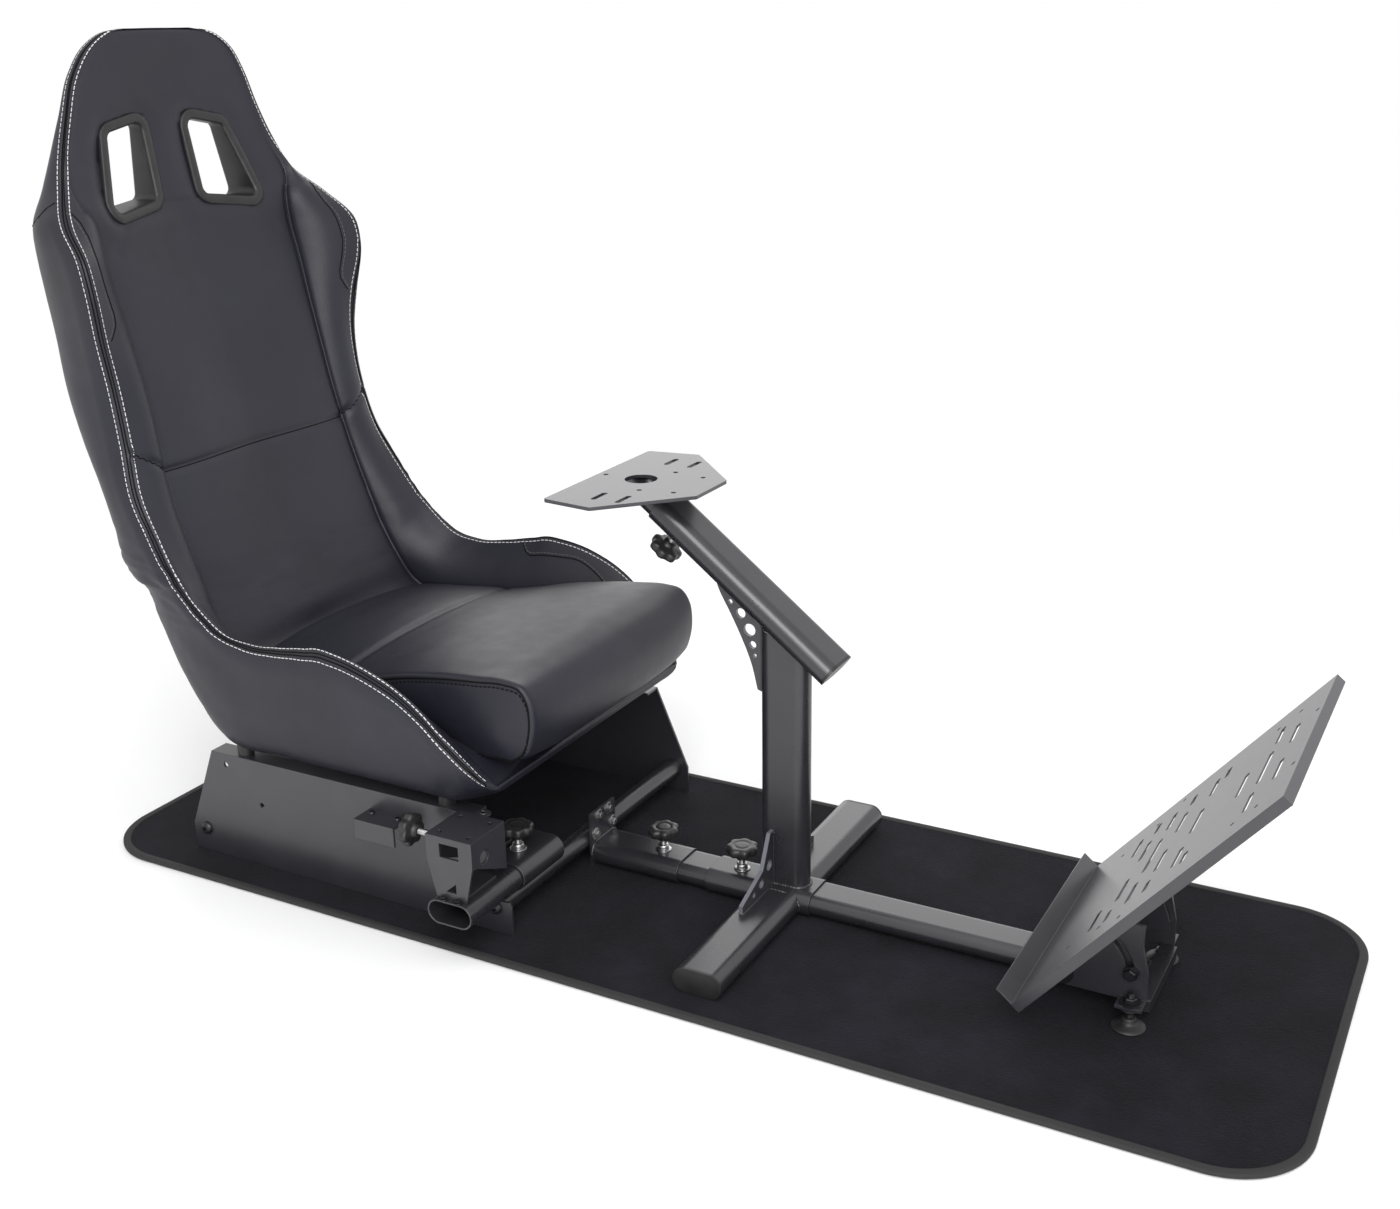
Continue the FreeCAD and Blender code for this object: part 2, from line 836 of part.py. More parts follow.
def make_thigh_bolster(label, side):
    """One low bolster beside the cushion, from the cover's hem forward to its nose."""
    bottom = value("pan_bottom")
    sections = []
    for y, lowered in ((side * value("thigh_inner_half"), 1), (side * value("thigh_half"), 0)):
        crest = [
            Vector(value("wing_foot_x") - value("thigh_set_back") * lowered, y, value("hem_z")),
            side_point("curl", y) - Vector(0, 0, value("curl_drop") * lowered),
            side_point("dip", y) - Vector(0, 0, value("thigh_drop") * lowered),
            side_point("hump", y) - Vector(0, 0, value("thigh_drop") * lowered),
            side_point("knee", y) - Vector(0, 0, value("knee_drop") * lowered),
            side_point("nose", y),
        ]
        toe = side_point("pan_lip", y)
        sole_front = Vector(value("pan_front"), y, bottom)
        sole_rear = Vector(value("pan_rear"), y, bottom)
        top = side_point("hem", y)
        rear = (sole_rear, side_point("haunch", y), top)
        chains = (crest, (crest[-1], toe), (toe, sole_front), (sole_front, sole_rear), rear, (top, crest[0]))
        sections.append(outline(chains))
    solid_part(label, Part.makeLoft(sections, True, True))


def make_pan():
    """The covered pan between the thigh bolsters, under the cushion."""
    top = size("pan_top")
    bottom = size("pan_bottom")
    half = size("thigh_inner_half")
    body = flat_plate("pan", "XZ", (
        (size("pan_rear"), bottom),
        (size("pan_front"), bottom),
        (size("pan_lip_x"), size("pan_lip_z")),
        (size("pan_top_front"), top),
        (size("pan_rear"), top),
    ), half * 2)
    place(body, y=half)
    keep(body, "seat_pan")


def make_cushion():
    """The seat cushion: a crowned top that rises to the front and a deep rounded nose."""
    half = value("cushion_half")
    pan_top = value("pan_top")
    rear = Vector(value("cushion_rear"), -half, value("cushion_rear_z"))
    top = [rear, side_point("cushion_crease", -half), side_point("cushion_crown", -half)]
    nose = [top[-1], side_point("cushion_nose", -half), side_point("cushion_lip", -half)]
    seat_front = Vector(value("pan_top_front"), -half, pan_top)
    seat_rear = Vector(value("pan_rear"), -half, pan_top)
    profile = outline((top, nose, (nose[-1], seat_front), (seat_front, seat_rear), (seat_rear, rear)))
    solid_part("seat_cushion", Part.Face(profile).extrude(Vector(0, half * 2, 0)))


def make_seat():
    """The bucket seat."""
    make_backrest()
    make_bezel("right_harness_bezel", -1)
    make_bezel("left_harness_bezel", 1)
    make_wing("right_wing", -1)
    make_wing("left_wing", 1)
    make_thigh_bolster("right_thigh_bolster", -1)
    make_thigh_bolster("left_thigh_bolster", 1)
    make_pan()
    make_cushion()


def make_main_tubes():
    """The rear outer tube with its end bracket, and the long tube that slides in it."""
    bracket_rear = front_cross_x + size("cross_radius")
    tube_rear = bracket_rear + size("bracket_thickness")
    rear_tube = oval_tube("rear_tube", "YZ", tube_width, tube_height, tube_wall,
                          size("rear_tube_end") - tube_rear)
    keep(place(rear_tube, x=tube_rear, z=tube_z), "rear_tube")
    half = size("bracket_half_width")
    bracket = flat_plate("rear_bracket", "YZ", (
        (-half, mat_top), (half, mat_top), (half, mat_top + size("bracket_height")),
        (-half, mat_top + size("bracket_height")),
    ), size("bracket_thickness"))
    keep(place(bracket, x=bracket_rear), "rear_bracket")
    slide_tube = oval_tube("slide_tube", "YZ", inner_width, inner_height, tube_wall,
                           size("slide_tube_front") - size("slide_tube_rear"))
    keep(place(slide_tube, x=size("slide_tube_rear"), z=tube_z), "slide_tube")


def make_foot_arms():
    """The two arms of the T-foot, coped to the sleeve's round sides, and their end caps."""
    reach = size("foot_half") - size("cap_thickness")
    caps = []
    for label, side in (("right_foot_arm", -1), ("left_foot_arm", 1)):
        arm = oval_tube(f"{label}_tube", "XZ", tube_width, tube_height, tube_wall,
                        reach - tube_height / 2, side > 0)
        place(arm, x=size("post_x"), y=tube_height / 2 * side, z=tube_z)
        sleeve_form = oval_bar(f"{label}_cope", "YZ", tube_width, tube_height,
                               size("sleeve_front") - size("sleeve_rear"))
        place(sleeve_form, x=size("sleeve_rear"), z=tube_z)
        keep(join("Part::Cut", arm, sleeve_form, label), label)
        cap = oval_bar("foot_cap", "XZ", tube_width, tube_height, size("cap_thickness"), side > 0)
        caps.append(place(cap, x=size("post_x"), y=reach * side, z=tube_z))
    keep(fuse("caps", caps), "foot_caps")


def make_column():
    """Sleeve, T-foot, post, sloped tube and the gussets that brace them."""
    sleeve = oval_tube("column_sleeve", "YZ", tube_width, tube_height, tube_wall,
                       size("sleeve_front") - size("sleeve_rear"))
    keep(place(sleeve, x=size("sleeve_rear"), z=tube_z), "column_sleeve")
    make_foot_arms()
    slope_x, slope_z = size("slope_foot_x"), size("slope_foot_z")
    turn = slope + 180
    sloped = oval_tube("sloped_tube", "YZ", tube_width, tube_height, tube_wall, size("slope_length"))
    keep(place(sloped, slope_x, 0, slope_z, AXIS_Y, turn), "sloped_tube")
    cap = oval_bar("slope_cap", "YZ", tube_width, tube_height, size("cap_thickness"), True)
    keep(place(cap, slope_x, 0, slope_z, AXIS_Y, turn), "slope_cap")
    post = oval_tube("post_tube", "XY", tube_width, tube_height, tube_wall, slope_z)
    place(post, x=size("post_x"), z=tube_top)
    above = doc.addObject("Part::Box", "above_post")
    above.setExpression("Length", (size("slope_length") * 2).text)
    above.setExpression("Width", (tube_width * 2).text)
    above.setExpression("Height", slope_z.text)
    under_x = slope_x - slope_up_z * tube_height / 2 - slope_up_x * size("slope_length") / 2
    under_z = slope_z + slope_up_x * tube_height / 2 - slope_up_z * size("slope_length") / 2
    far_x = under_x + slope_up_x * size("slope_length") * 2
    far_z = under_z + slope_up_z * size("slope_length") * 2
    place(above, far_x, -tube_width, far_z, AXIS_Y, slope)
    keep(join("Part::Cut", post, above, "post"), "post")
    make_upper_gusset(slope_x, slope_z)
    make_base_gussets()


def make_upper_gusset(slope_x, slope_z):
    """The brace between post and sloped tube, with its row of graded holes."""
    post_rear = size("post_x") - tube_width / 2
    thickness = size("gusset_thickness")

    def under_slope(x):
        along = (slope_x - slope_up_z * tube_height / 2 - x) / cosine(slope)
        return slope_z + slope_up_x * tube_height / 2 + slope_up_z * along

    tip = size("gusset_tip_x")
    foot = size("gusset_foot_z")
    bow = size("gusset_bow")
    middle_x = (tip + post_rear) / 2 + bow
    middle_z = (under_slope(tip) + foot) / 2 + bow
    circles = [(post_rear - x, z, radius) for x, z, radius in GUSSET_HOLES]
    gusset = flat_plate("upper_gusset", "XZ", (
        (post_rear, under_slope(post_rear)),
        (tip, under_slope(tip)),
        (middle_x, middle_z),
        (post_rear, foot),
    ), thickness, circles)
    keep(place(gusset, y=thickness / 2), "upper_gusset")


def make_base_gussets():
    """The two braces between post and T-foot, each with its row of holes."""
    thickness = size("gusset_thickness")
    inner = tube_height / 2
    gussets = []
    for side in (-1, 1):
        toe = inner + size("base_gusset_reach")
        waist = inner + size("base_gusset_waist")
        corners = [
            (inner, tube_top),
            (toe, tube_top),
            (toe, tube_top + size("base_gusset_toe")),
            (waist, tube_top + size("base_gusset_waist")),
            (inner + size("base_gusset_toe"), tube_top + size("base_gusset_height")),
            (inner, tube_top + size("base_gusset_height")),
        ]
        corners = [(y * side, z) for y, z in corners]
        circles = [((inner + y) * side, z, radius) for y, z, radius in BASE_GUSSET_HOLES]
        gusset = flat_plate("base_gusset", "YZ", corners, thickness, circles)
        gussets.append(place(gusset, x=size("base_gusset_x")))
    keep(fuse("gussets", gussets), "base_gussets")


def make_wheel_support():
    """The inner tube of the sloped pair and the slotted wheel plate on its mitred end."""
    under = size("wheel_plate_top") - size("wheel_plate_thickness")
    start = size("slope_length") - size("wheel_tube_engaged")
    tube = oval_tube("wheel_tube_long", "YZ", inner_width, inner_height, tube_wall, size("slope_length"))
    x = size("slope_foot_x") + slope_up_x * start
    z = size("slope_foot_z") + slope_up_z * start
    place(tube, x, 0, z, AXIS_Y, slope + 180)
    above = doc.addObject("Part::Box", "above_wheel_tube")
    for name in ("Length", "Width", "Height"):
        above.setExpression(name, (size("slope_length") * 2).text)
    place(above, -size("slope_length"), -size("slope_length"), under)
    keep(join("Part::Cut", tube, above, "wheel_tube"), "wheel_tube")
    make_wheel_plate(under)


def make_wheel_plate(under):
    """The six-sided plate that takes a steering wheel's clamps and screws."""
    rear, wide, front = size("wheel_plate_rear"), size("wheel_plate_wide"), size("wheel_plate_front")
    rear_half = size("wheel_plate_rear_half")
    wide_half = size("wheel_plate_wide_half")
    front_half = size("wheel_plate_front_half")
    body = new_body("wheel_plate")
    sketch = new_sketch(body, "XY")
    draw_polygon(sketch, (
        (rear, -rear_half), (wide, -wide_half), (front, -front_half),
        (front, front_half), (wide, wide_half), (rear, rear_half),
    ))
    base = pad(body, sketch, size("wheel_plate_thickness"))
    round_edges(body, base, size("wheel_plate_corner"), AXIS_Z)
    cuts = new_sketch(body, "XY")
    draw_circle(cuts, size("wheel_cable_x"), 0, size("wheel_cable_radius"))
    draw_circle(cuts, size("wheel_hole_rear_x"), 0, size("wheel_hole_radius"))
    for side in (-1, 1):
        for name in ("mid", "front"):
            draw_circle(cuts, size(f"wheel_hole_{name}_x"), size(f"wheel_hole_{name}_y") * side,
                        size("wheel_hole_radius"))
        for name in ("rear", "front"):
            draw_slot(cuts, size(f"wheel_slot_{name}_x"), size("wheel_slot_y") * side,
                      size("wheel_slot_length"), size("wheel_slot_radius"), "y")
    pocket_through(body, cuts)
    keep(place(body, z=under), "wheel_plate")


def make_pedal_deck():
    """The folded pedal deck: slotted plate, side and front flanges turned down, heel stop turned up."""
    length = size("deck_length")
    half = size("deck_width") / 2
    sheet_metal = size("deck_thickness")
    body = new_body("pedal_deck")
    web = new_sketch(body, "XY")
    draw_rectangle(web, 0, length, -half, half)
    pad(body, web, sheet_metal, True)
    skirt = new_sketch(body, "XY")
    draw_polygon(skirt, (
        (0, -half), (length, -half), (length, half), (0, half), (0, half - sheet_metal),
        (length - sheet_metal, half - sheet_metal), (length - sheet_metal, sheet_metal - half),
        (0, sheet_metal - half),
    ))
    pad(body, skirt, size("deck_flange"), True)
    heel = new_sketch(body, "XY", -sheet_metal)
    draw_rectangle(heel, 0, sheet_metal, -half, half)
    pad(body, heel, size("heel_stop") + sheet_metal)
    cut_deck_slots(body)
    cut_deck_holes(body)
    place(body, size("deck_heel_x"), 0, size("deck_heel_z"), AXIS_Y, -size("deck_angle"))
    keep(body, "pedal_deck")


def cut_deck_slots(body):
    """The slots that run across the deck, in families along its length."""
    radius = size("deck_slot_radius")
    for places, y, length in DECK_SIDE_SLOTS:
        for side in (-1, 1):
            cuts = new_sketch(body, "XY")
            for x in places:
                draw_slot(cuts, x, y * side, length, radius, "y")
            pocket_through(body, cuts)
    for places, length in DECK_CENTRE_SLOTS:
        cuts = new_sketch(body, "XY")
        for x in places:
            draw_slot(cuts, x, 0, length, radius, "y")
        pocket_through(body, cuts)


def cut_deck_holes(body):
    """The deck's small round holes."""
    cuts = new_sketch(body, "XY")
    for x, y in DECK_HOLES:
        for side in (-1, 1):
            draw_circle(cuts, x, y * side, size("deck_hole_radius"))
    pocket_through(body, cuts)


def tilt_point(angle):
    """A place on the tilt circle about the deck's pivot."""
    x = size("pivot_x") + cosine(angle) * size("tilt_radius")
    z = size("pivot_z") + sine(angle) * size("tilt_radius")
    return x, z


def make_deck_lugs():
    """The two lugs under the deck, each with its pivot hole, and the clamp bolts they carry."""
    thickness = size("lug_thickness")
    bolt_x, bolt_z = tilt_point(size("tilt_start"))
    boss = size("pivot_boss")
    tilt = size("deck_angle")
    below = size("deck_thickness")

    def under_deck(along):
        x = size("deck_heel_x") + cosine(tilt) * along + sine(tilt) * below
        z = size("deck_heel_z") + sine(tilt) * along - cosine(tilt) * below
        return x, z

    pivot_x, pivot_z = size("pivot_x"), size("pivot_z")
    corners = (
        under_deck(size("lug_top_rear")),
        (pivot_x - boss, pivot_z),
        (pivot_x, pivot_z - boss),
        (bolt_x + boss / 2, bolt_z - boss),
        (bolt_x + boss, bolt_z),
        under_deck(size("lug_top_front")),
    )
    circles = ((pivot_x, pivot_z, size("pivot_radius") + size("pivot_clearance")),)
    lugs = []
    bolts = []
    for side in (-1, 1):
        lug = flat_plate("lug", "XZ", corners, thickness, circles)
        inner = size("lug_half") - thickness
        lugs.append(place(lug, y=size("lug_half") if side > 0 else -inner))
        bolts.append(make_tilt_bolt(bolt_x, bolt_z, side))
    keep(fuse("lugs", lugs), "pedal_lugs")
    keep(fuse("bolts", bolts), "tilt_bolts")


def make_tilt_bolt(x, z, side):
    """A clamp bolt from one lug out through the bracket's arc slot, with its head outside."""
    body = new_body("tilt_bolt")
    head_start = size("pedal_plate_half") + size("tilt_slot_clearance") - size("lug_half")
    shank = new_sketch(body, "XZ")
    draw_circle(shank, x, z, size("tilt_bolt_radius"))
    pad(body, shank, head_start, side > 0)
    head = new_sketch(body, "XZ", head_start * -side)
    draw_circle(head, x, z, size("tilt_head_radius"))
    pad(body, head, size("tilt_head_height"), side > 0)
    return place(body, y=size("lug_half") * side)


def arc_slot_wire(radius, start, end, half_width):
    """The outline of a slot curved about the origin, in the XZ plane, angles in degrees."""
    middle = (start + end) / 2

    def polar(reach, angle):
        turn = math.radians(angle)
        return Vector(reach * math.cos(turn), 0, reach * math.sin(turn))

    def end_cap(angle, lead):
        tip = polar(radius, angle) + polar(half_width, angle + lead)
        return Part.Arc(polar(radius + half_width, angle), tip, polar(radius - half_width, angle)).toShape()

    def side_arc(reach):
        return Part.Arc(polar(reach, start), polar(reach, middle), polar(reach, end)).toShape()

    edges = [side_arc(radius + half_width), end_cap(end, 90), side_arc(radius - half_width), end_cap(start, -90)]
    return Part.Wire(Part.__sortEdges__(edges))


def make_pedal_brackets():
    """The side brackets that carry the deck: pivot hole, arc slot for the clamp bolt, tab for the foot."""
    thickness = size("pedal_plate_thickness")
    half = size("pedal_plate_half")
    bottom = size("pedal_plate_bottom")
    pivot_x, pivot_z = size("pivot_x"), size("pivot_z")
    boss = size("pivot_boss")
    top = size("pedal_plate_top")
    bolt_x, bolt_z = tilt_point(size("tilt_start"))
    waist = bolt_x + size("pedal_plate_margin")
    front = waist + size("pedal_plate_toe")
    end_x, end_z = tilt_point(size("tilt_start") + size("tilt_travel"))
    corners = (
        (pivot_x - boss, bottom),
        (front, bottom),
        (front, bolt_z),
        (waist, end_z),
        (waist, top),
        (end_x - boss, top),
        (pivot_x, pivot_z + boss),
        (pivot_x - boss, pivot_z + boss / 2),
    )
    slot = arc_slot_wire(size("tilt_radius").value, size("tilt_start").value,
                         (size("tilt_start") + size("tilt_travel")).value,
                         (size("tilt_bolt_radius") + size("tilt_slot_clearance")).value)
    slot.translate(Vector(pivot_x.value, -half.value * 2, pivot_z.value))
    slot_bar = doc.addObject("Part::Feature", "arc_slot")
    slot_bar.Shape = Part.Face(slot).extrude(Vector(0, half.value * 4, 0))
    for label, side in (("right_pedal_bracket", -1), ("left_pedal_bracket", 1)):
        web = flat_plate(f"{label}_web", "XZ", corners, thickness, ((pivot_x, pivot_z, size("pivot_radius")),))
        tab = new_sketch(web, "XZ", thickness if side < 0 else 0)
        draw_rectangle(tab, size("foot_tab_rear"), front, bottom, bottom + thickness)
        pad(web, tab, size("foot_tab"), side > 0)
        hole = new_sketch(web, "XY")
        draw_circle(hole, size("foot_x"), foot_y(half, side, thickness), size("foot_stud_radius"))
        pocket_through(web, hole)
        place(web, y=half if side > 0 else thickness - half)
        keep(join("Part::Cut", web, slot_bar, label), label)


def foot_y(half, side, thickness):
    """The middle of a foot tab, measured from its bracket's own plane."""
    reach = size("foot_tab") / 2
    return reach if side > 0 else -reach - thickness


def make_pedal_base():
    """Brackets, cross bar, pivot rod and suction feet at the front of the slide tube."""
    make_pedal_brackets()
    inner = size("pedal_plate_half") - size("pedal_plate_thickness")
    bar = doc.addObject("Part::Box", "cross_bar")
    bar.setExpression("Length", "Sizes.cross_bar_depth")
    bar.setExpression("Width", (inner * 2).text)
    bar.setExpression("Height", "Sizes.cross_bar_height")
    place(bar, size("slide_tube_front"), -inner, tube_z + inner_height / 2 - size("cross_bar_height"))
    keep(bar, "pedal_cross_bar")
    rod = doc.addObject("Part::Cylinder", "pivot_rod")
    rod.setExpression("Radius", "Sizes.pivot_radius")
    rod.setExpression("Height", (size("pedal_plate_half") * 2).text)
    place(rod, size("pivot_x"), size("pedal_plate_half"), size("pivot_z"), AXIS_X, 90)
    keep(rod, "pedal_pivot")
    make_feet()


def make_feet():
    """Two rubber suction feet, each on a stud with a nut over the bracket's tab."""
    feet = []
    studs = []
    tab_top = size("pedal_plate_bottom") + size("pedal_plate_thickness")
    sole = mat_top + size("floor_gap")
    height = size("foot_height")
    for side in (-1, 1):
        y = (size("pedal_plate_half") + size("foot_tab") / 2) * side
        cup = doc.addObject("Part::Cone", "cup")
        cup.setExpression("Radius1", "Sizes.foot_radius")
        cup.setExpression("Radius2", "Sizes.foot_nut_radius")
        cup.setExpression("Height", height.text)
        feet.append(place(cup, size("foot_x"), y, sole))
        stud = new_body("foot_stud")
        shank = new_sketch(stud, "XY")
        draw_circle(shank, 0, 0, size("foot_stud_radius"))
        pad(stud, shank, tab_top + size("foot_stud_rise") - sole - height)
        nut = new_sketch(stud, "XY", tab_top - sole - height)
        draw_circle(nut, 0, 0, size("foot_nut_radius"))
        pad(stud, nut, size("foot_nut_height"))
        studs.append(place(stud, size("foot_x"), y, sole + height))
    keep(fuse("cups", feet), "suction_feet")
    keep(fuse("studs", studs), "foot_studs")


def make_shifter():
    """Sleeve on the front cross tube, the tube that slides in it and the folded stand."""
    x = size("shifter_x")
    length = size("shifter_sleeve_length")
    sleeve = oval_tube("shifter_sleeve", "XZ", tube_width + tube_step * 2, shifter_sleeve_height, tube_wall, length)
    keep(place(sleeve, x, base_right + size("shifter_sleeve_inset") + length, shifter_z), "shifter_sleeve")
    inner_end = base_right + size("shifter_tube_inset")
    tube = oval_tube("shifter_tube", "XZ", tube_width, tube_height, tube_wall, inner_end - shifter_end)
    keep(place(tube, x, inner_end, shifter_z), "shifter_tube")
    make_stand(x, shifter_z + tube_height / 2)


def make_stand(x, base):
    """The folded shifter stand: tapered face with two cut-outs, top plate, side flanges and a foot on the tube."""
    metal = size("stand_sheet")
    half = size("stand_width") / 2
    waist = size("stand_waist") / 2
    height = size("stand_height")
    depth = size("stand_depth")
    drop = size("stand_flange_drop")
    end = size("stand_flange_end")
    body = new_body("shifter_stand")
    face = new_sketch(body, "XZ")
    draw_polygon(face, ((-waist, 0), (waist, 0), (half, height - drop), (half, height), (-half, height),
                        (-half, height - drop)))
    pad(body, face, metal)
    top = new_sketch(body, "XY", height - metal)
    draw_rectangle(top, -half, half, -metal, depth - metal)
    pad(body, top, metal)
    foot = new_sketch(body, "XY")
    draw_rectangle(foot, -tube_height / 2, tube_height / 2, -metal, depth - metal)
    pad(body, foot, metal)
    for start in (-half, half - metal):
        flange = new_sketch(body, "YZ", start)
        draw_polygon(flange, ((-metal, height - drop), (depth - metal, height - end), (depth - metal, height),
                              (-metal, height)))
        pad(body, flange, metal)
    window = new_sketch(body, "XZ")
    window_half = size("stand_window_width") / 2
    window_top = height - size("stand_window_drop")
    draw_rectangle(window, -window_half, window_half, window_top - size("stand_window_height"), window_top)
    notch = size("stand_notch_half")
    low = size("stand_notch_low")
    draw_polygon(window, ((-notch, low), (notch, low), (notch, size("stand_notch_high"))))
    pocket_through(body, window)
    bore = new_sketch(body, "YZ", half)
    draw_circle(bore, size("stand_bore_y"), height - size("stand_bore_drop"), size("stand_bore_radius"))
    one_wall(pocket_through(body, bore), metal)
    cuts = new_sketch(body, "XY", height)
    for side_x in (-1, 1):
        for side_y in (-1, 1):
            draw_circle(cuts, size("stand_hole_x") / 2 * side_x,
                        depth / 2 - metal + size("stand_hole_y") / 2 * side_y, size("stand_hole_radius"))
    one_wall(pocket_through(body, cuts), metal)
    place(body, x, shifter_end + size("stand_set_back") + metal, base)
    keep(body, "shifter_stand")


def make_knob(label, stud_length):
    """A star knob: lobed head, hub, stud and the nut that its stud passes through."""
    body = new_body(label)
    hub_start = as_size(stud_length)
    head_start = hub_start + size("knob_hub_height")
    head = new_sketch(body, "XY", head_start)
    draw_circle(head, 0, 0, size("knob_radius"))
    pad(body, head, size("knob_height"))
    notch = new_sketch(body, "XY", head_start)
    draw_circle(notch, size("knob_notch_centre"), 0, size("knob_notch_radius"))
    cut = pocket_through(body, notch)
    lobes = body.newObject("PartDesign::PolarPattern", f"{label}_lobes")
    lobes.Originals = [cut]
    axis = [item for item in body.Origin.OriginFeatures if item.Role == "Z_Axis"]
    lobes.Axis = (axis[0], [""])
    lobes.Angle = 360
    lobes.setExpression("Occurrences", "Sizes.knob_lobes")
    body.Tip = lobes
    for start, radius, length in (
        (hub_start, size("knob_hub_radius"), size("knob_hub_height")),
        (as_size(0), size("knob_stud_radius"), hub_start),
        (as_size(0), size("knob_nut_radius"), size("knob_nut_height")),
    ):
        ring = new_sketch(body, "XY", start)
        draw_circle(ring, 0, 0, radius)
        pad(body, ring, length)
    return keep(body, label)


def make_knobs():
    """The five clamp knobs."""
    stud = size("knob_stud_length")
    place(make_knob("rear_tube_knob", stud), size("rear_knob_x"), 0, tube_top)
    place(make_knob("column_knob", stud), size("sleeve_knob_x"), 0, tube_top)
    along = size("slope_length") - size("wheel_knob_inset")
    x = size("slope_foot_x") + slope_up_x * along - slope_up_z * tube_height / 2
    z = size("slope_foot_z") + slope_up_z * along + slope_up_x * tube_height / 2
    place(make_knob("wheel_knob", stud), x, 0, z, AXIS_Y, slope + 180)
    place(make_knob("shifter_tube_knob", stud), size("shifter_x"), base_right + size("shifter_knob_inset"),
          shifter_z + shifter_sleeve_height / 2)
    place(make_knob("shifter_stand_knob", size("stand_stud_length")),
          size("shifter_x") - size("stand_width") / 2, base_right - size("stand_knob_reach"), size("stand_knob_z"),
          AXIS_Y, 270)


def check_document():
    """Stop if any object failed or any sub-part has no valid solid."""
    for item in doc.Objects:
        if "Invalid" in item.State or "Error" in item.State:
            raise RuntimeError(f"{item.Name} failed: {item.State}")
    for part in parts:
        if part.Shape.isNull() or not part.Shape.isValid() or not part.Shape.Solids:
            raise RuntimeError(f"{part.Label} has no valid solid")


make_mat()
make_seat_base()
make_seat()
make_main_tubes()
make_column()
make_wheel_support()
make_pedal_deck()
make_deck_lugs()
make_pedal_base()
make_shifter()
make_knobs()
doc.recompute()
check_document()
os.makedirs("parts", exist_ok=True)
for part in parts:
    part.Shape.exportStep(f"parts/{part.Label}.step")
    box = part.Shape.BoundBox
    print(f"{part.Label}: {len(part.Shape.Solids)} solids, {part.Shape.Volume:.0f} mm3,"
          f" X {box.XMin:.1f} to {box.XMax:.1f}, Y {box.YMin:.1f} to {box.YMax:.1f},"
          f" Z {box.ZMin:.1f} to {box.ZMax:.1f}")
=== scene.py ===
"""Looks of the sim racing cockpit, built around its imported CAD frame. Metres, but for the seat's tables.

+X is the driver's forward, +Y the driver's left and +Z up.
"""

import math

import bmesh
import bpy
import numpy as np
from mathutils import Matrix, Vector, noise
from mathutils.bvhtree import BVHTree


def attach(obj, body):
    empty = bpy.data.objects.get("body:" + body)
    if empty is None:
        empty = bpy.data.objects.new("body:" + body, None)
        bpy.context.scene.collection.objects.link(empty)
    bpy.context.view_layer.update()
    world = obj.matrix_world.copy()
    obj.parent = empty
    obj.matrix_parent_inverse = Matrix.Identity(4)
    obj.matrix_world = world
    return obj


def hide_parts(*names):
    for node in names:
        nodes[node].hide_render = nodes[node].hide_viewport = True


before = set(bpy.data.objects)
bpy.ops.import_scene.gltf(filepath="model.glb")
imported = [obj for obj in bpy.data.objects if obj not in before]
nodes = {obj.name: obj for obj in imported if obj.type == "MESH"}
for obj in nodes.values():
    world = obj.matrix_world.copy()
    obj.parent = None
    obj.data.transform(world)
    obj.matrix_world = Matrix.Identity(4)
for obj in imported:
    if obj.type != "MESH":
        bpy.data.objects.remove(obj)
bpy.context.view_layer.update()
SEAT_BODY = "seat_base"
SIDES = (-1, 1)
UP, DOWN, FORWARD, LEFT = (0, 0, 1), (0, 0, -1), (1, 0, 0), (0, 1, 0)


def clamp(value):
    """A value held between 0 and 1."""
    return min(1.0, max(0.0, value))


def ease(value):
    """A smooth step from 0 to 1."""
    value = clamp(value)
    return value * value * (3 - 2 * value)


def bell(distance, width):
    """1 at a line, falling to 0 within a few widths."""
    return np.exp(-(distance / width) ** 2)


def soft_noise(point, scale):
    """A smooth random height from about -1 to 1."""
    return noise.fractal(Vector(point) * scale, 1.0, 2.0, 3)


# Materials

def feed(tree, node, inputs):
    """Give a node's inputs their values, or link them to the outputs of other nodes."""
    for name, value in inputs.items():
        if isinstance(value, bpy.types.NodeSocket):
            tree.links.new(value, node.inputs[name])
        else:
            node.inputs[name].default_value = value


def add_node(tree, kind, inputs, **settings):
    """A shader node with its settings and inputs."""
    node = tree.nodes.new("ShaderNode" + kind)
    for name, value in settings.items():
        setattr(node, name, value)
    feed(tree, node, inputs)
    return node


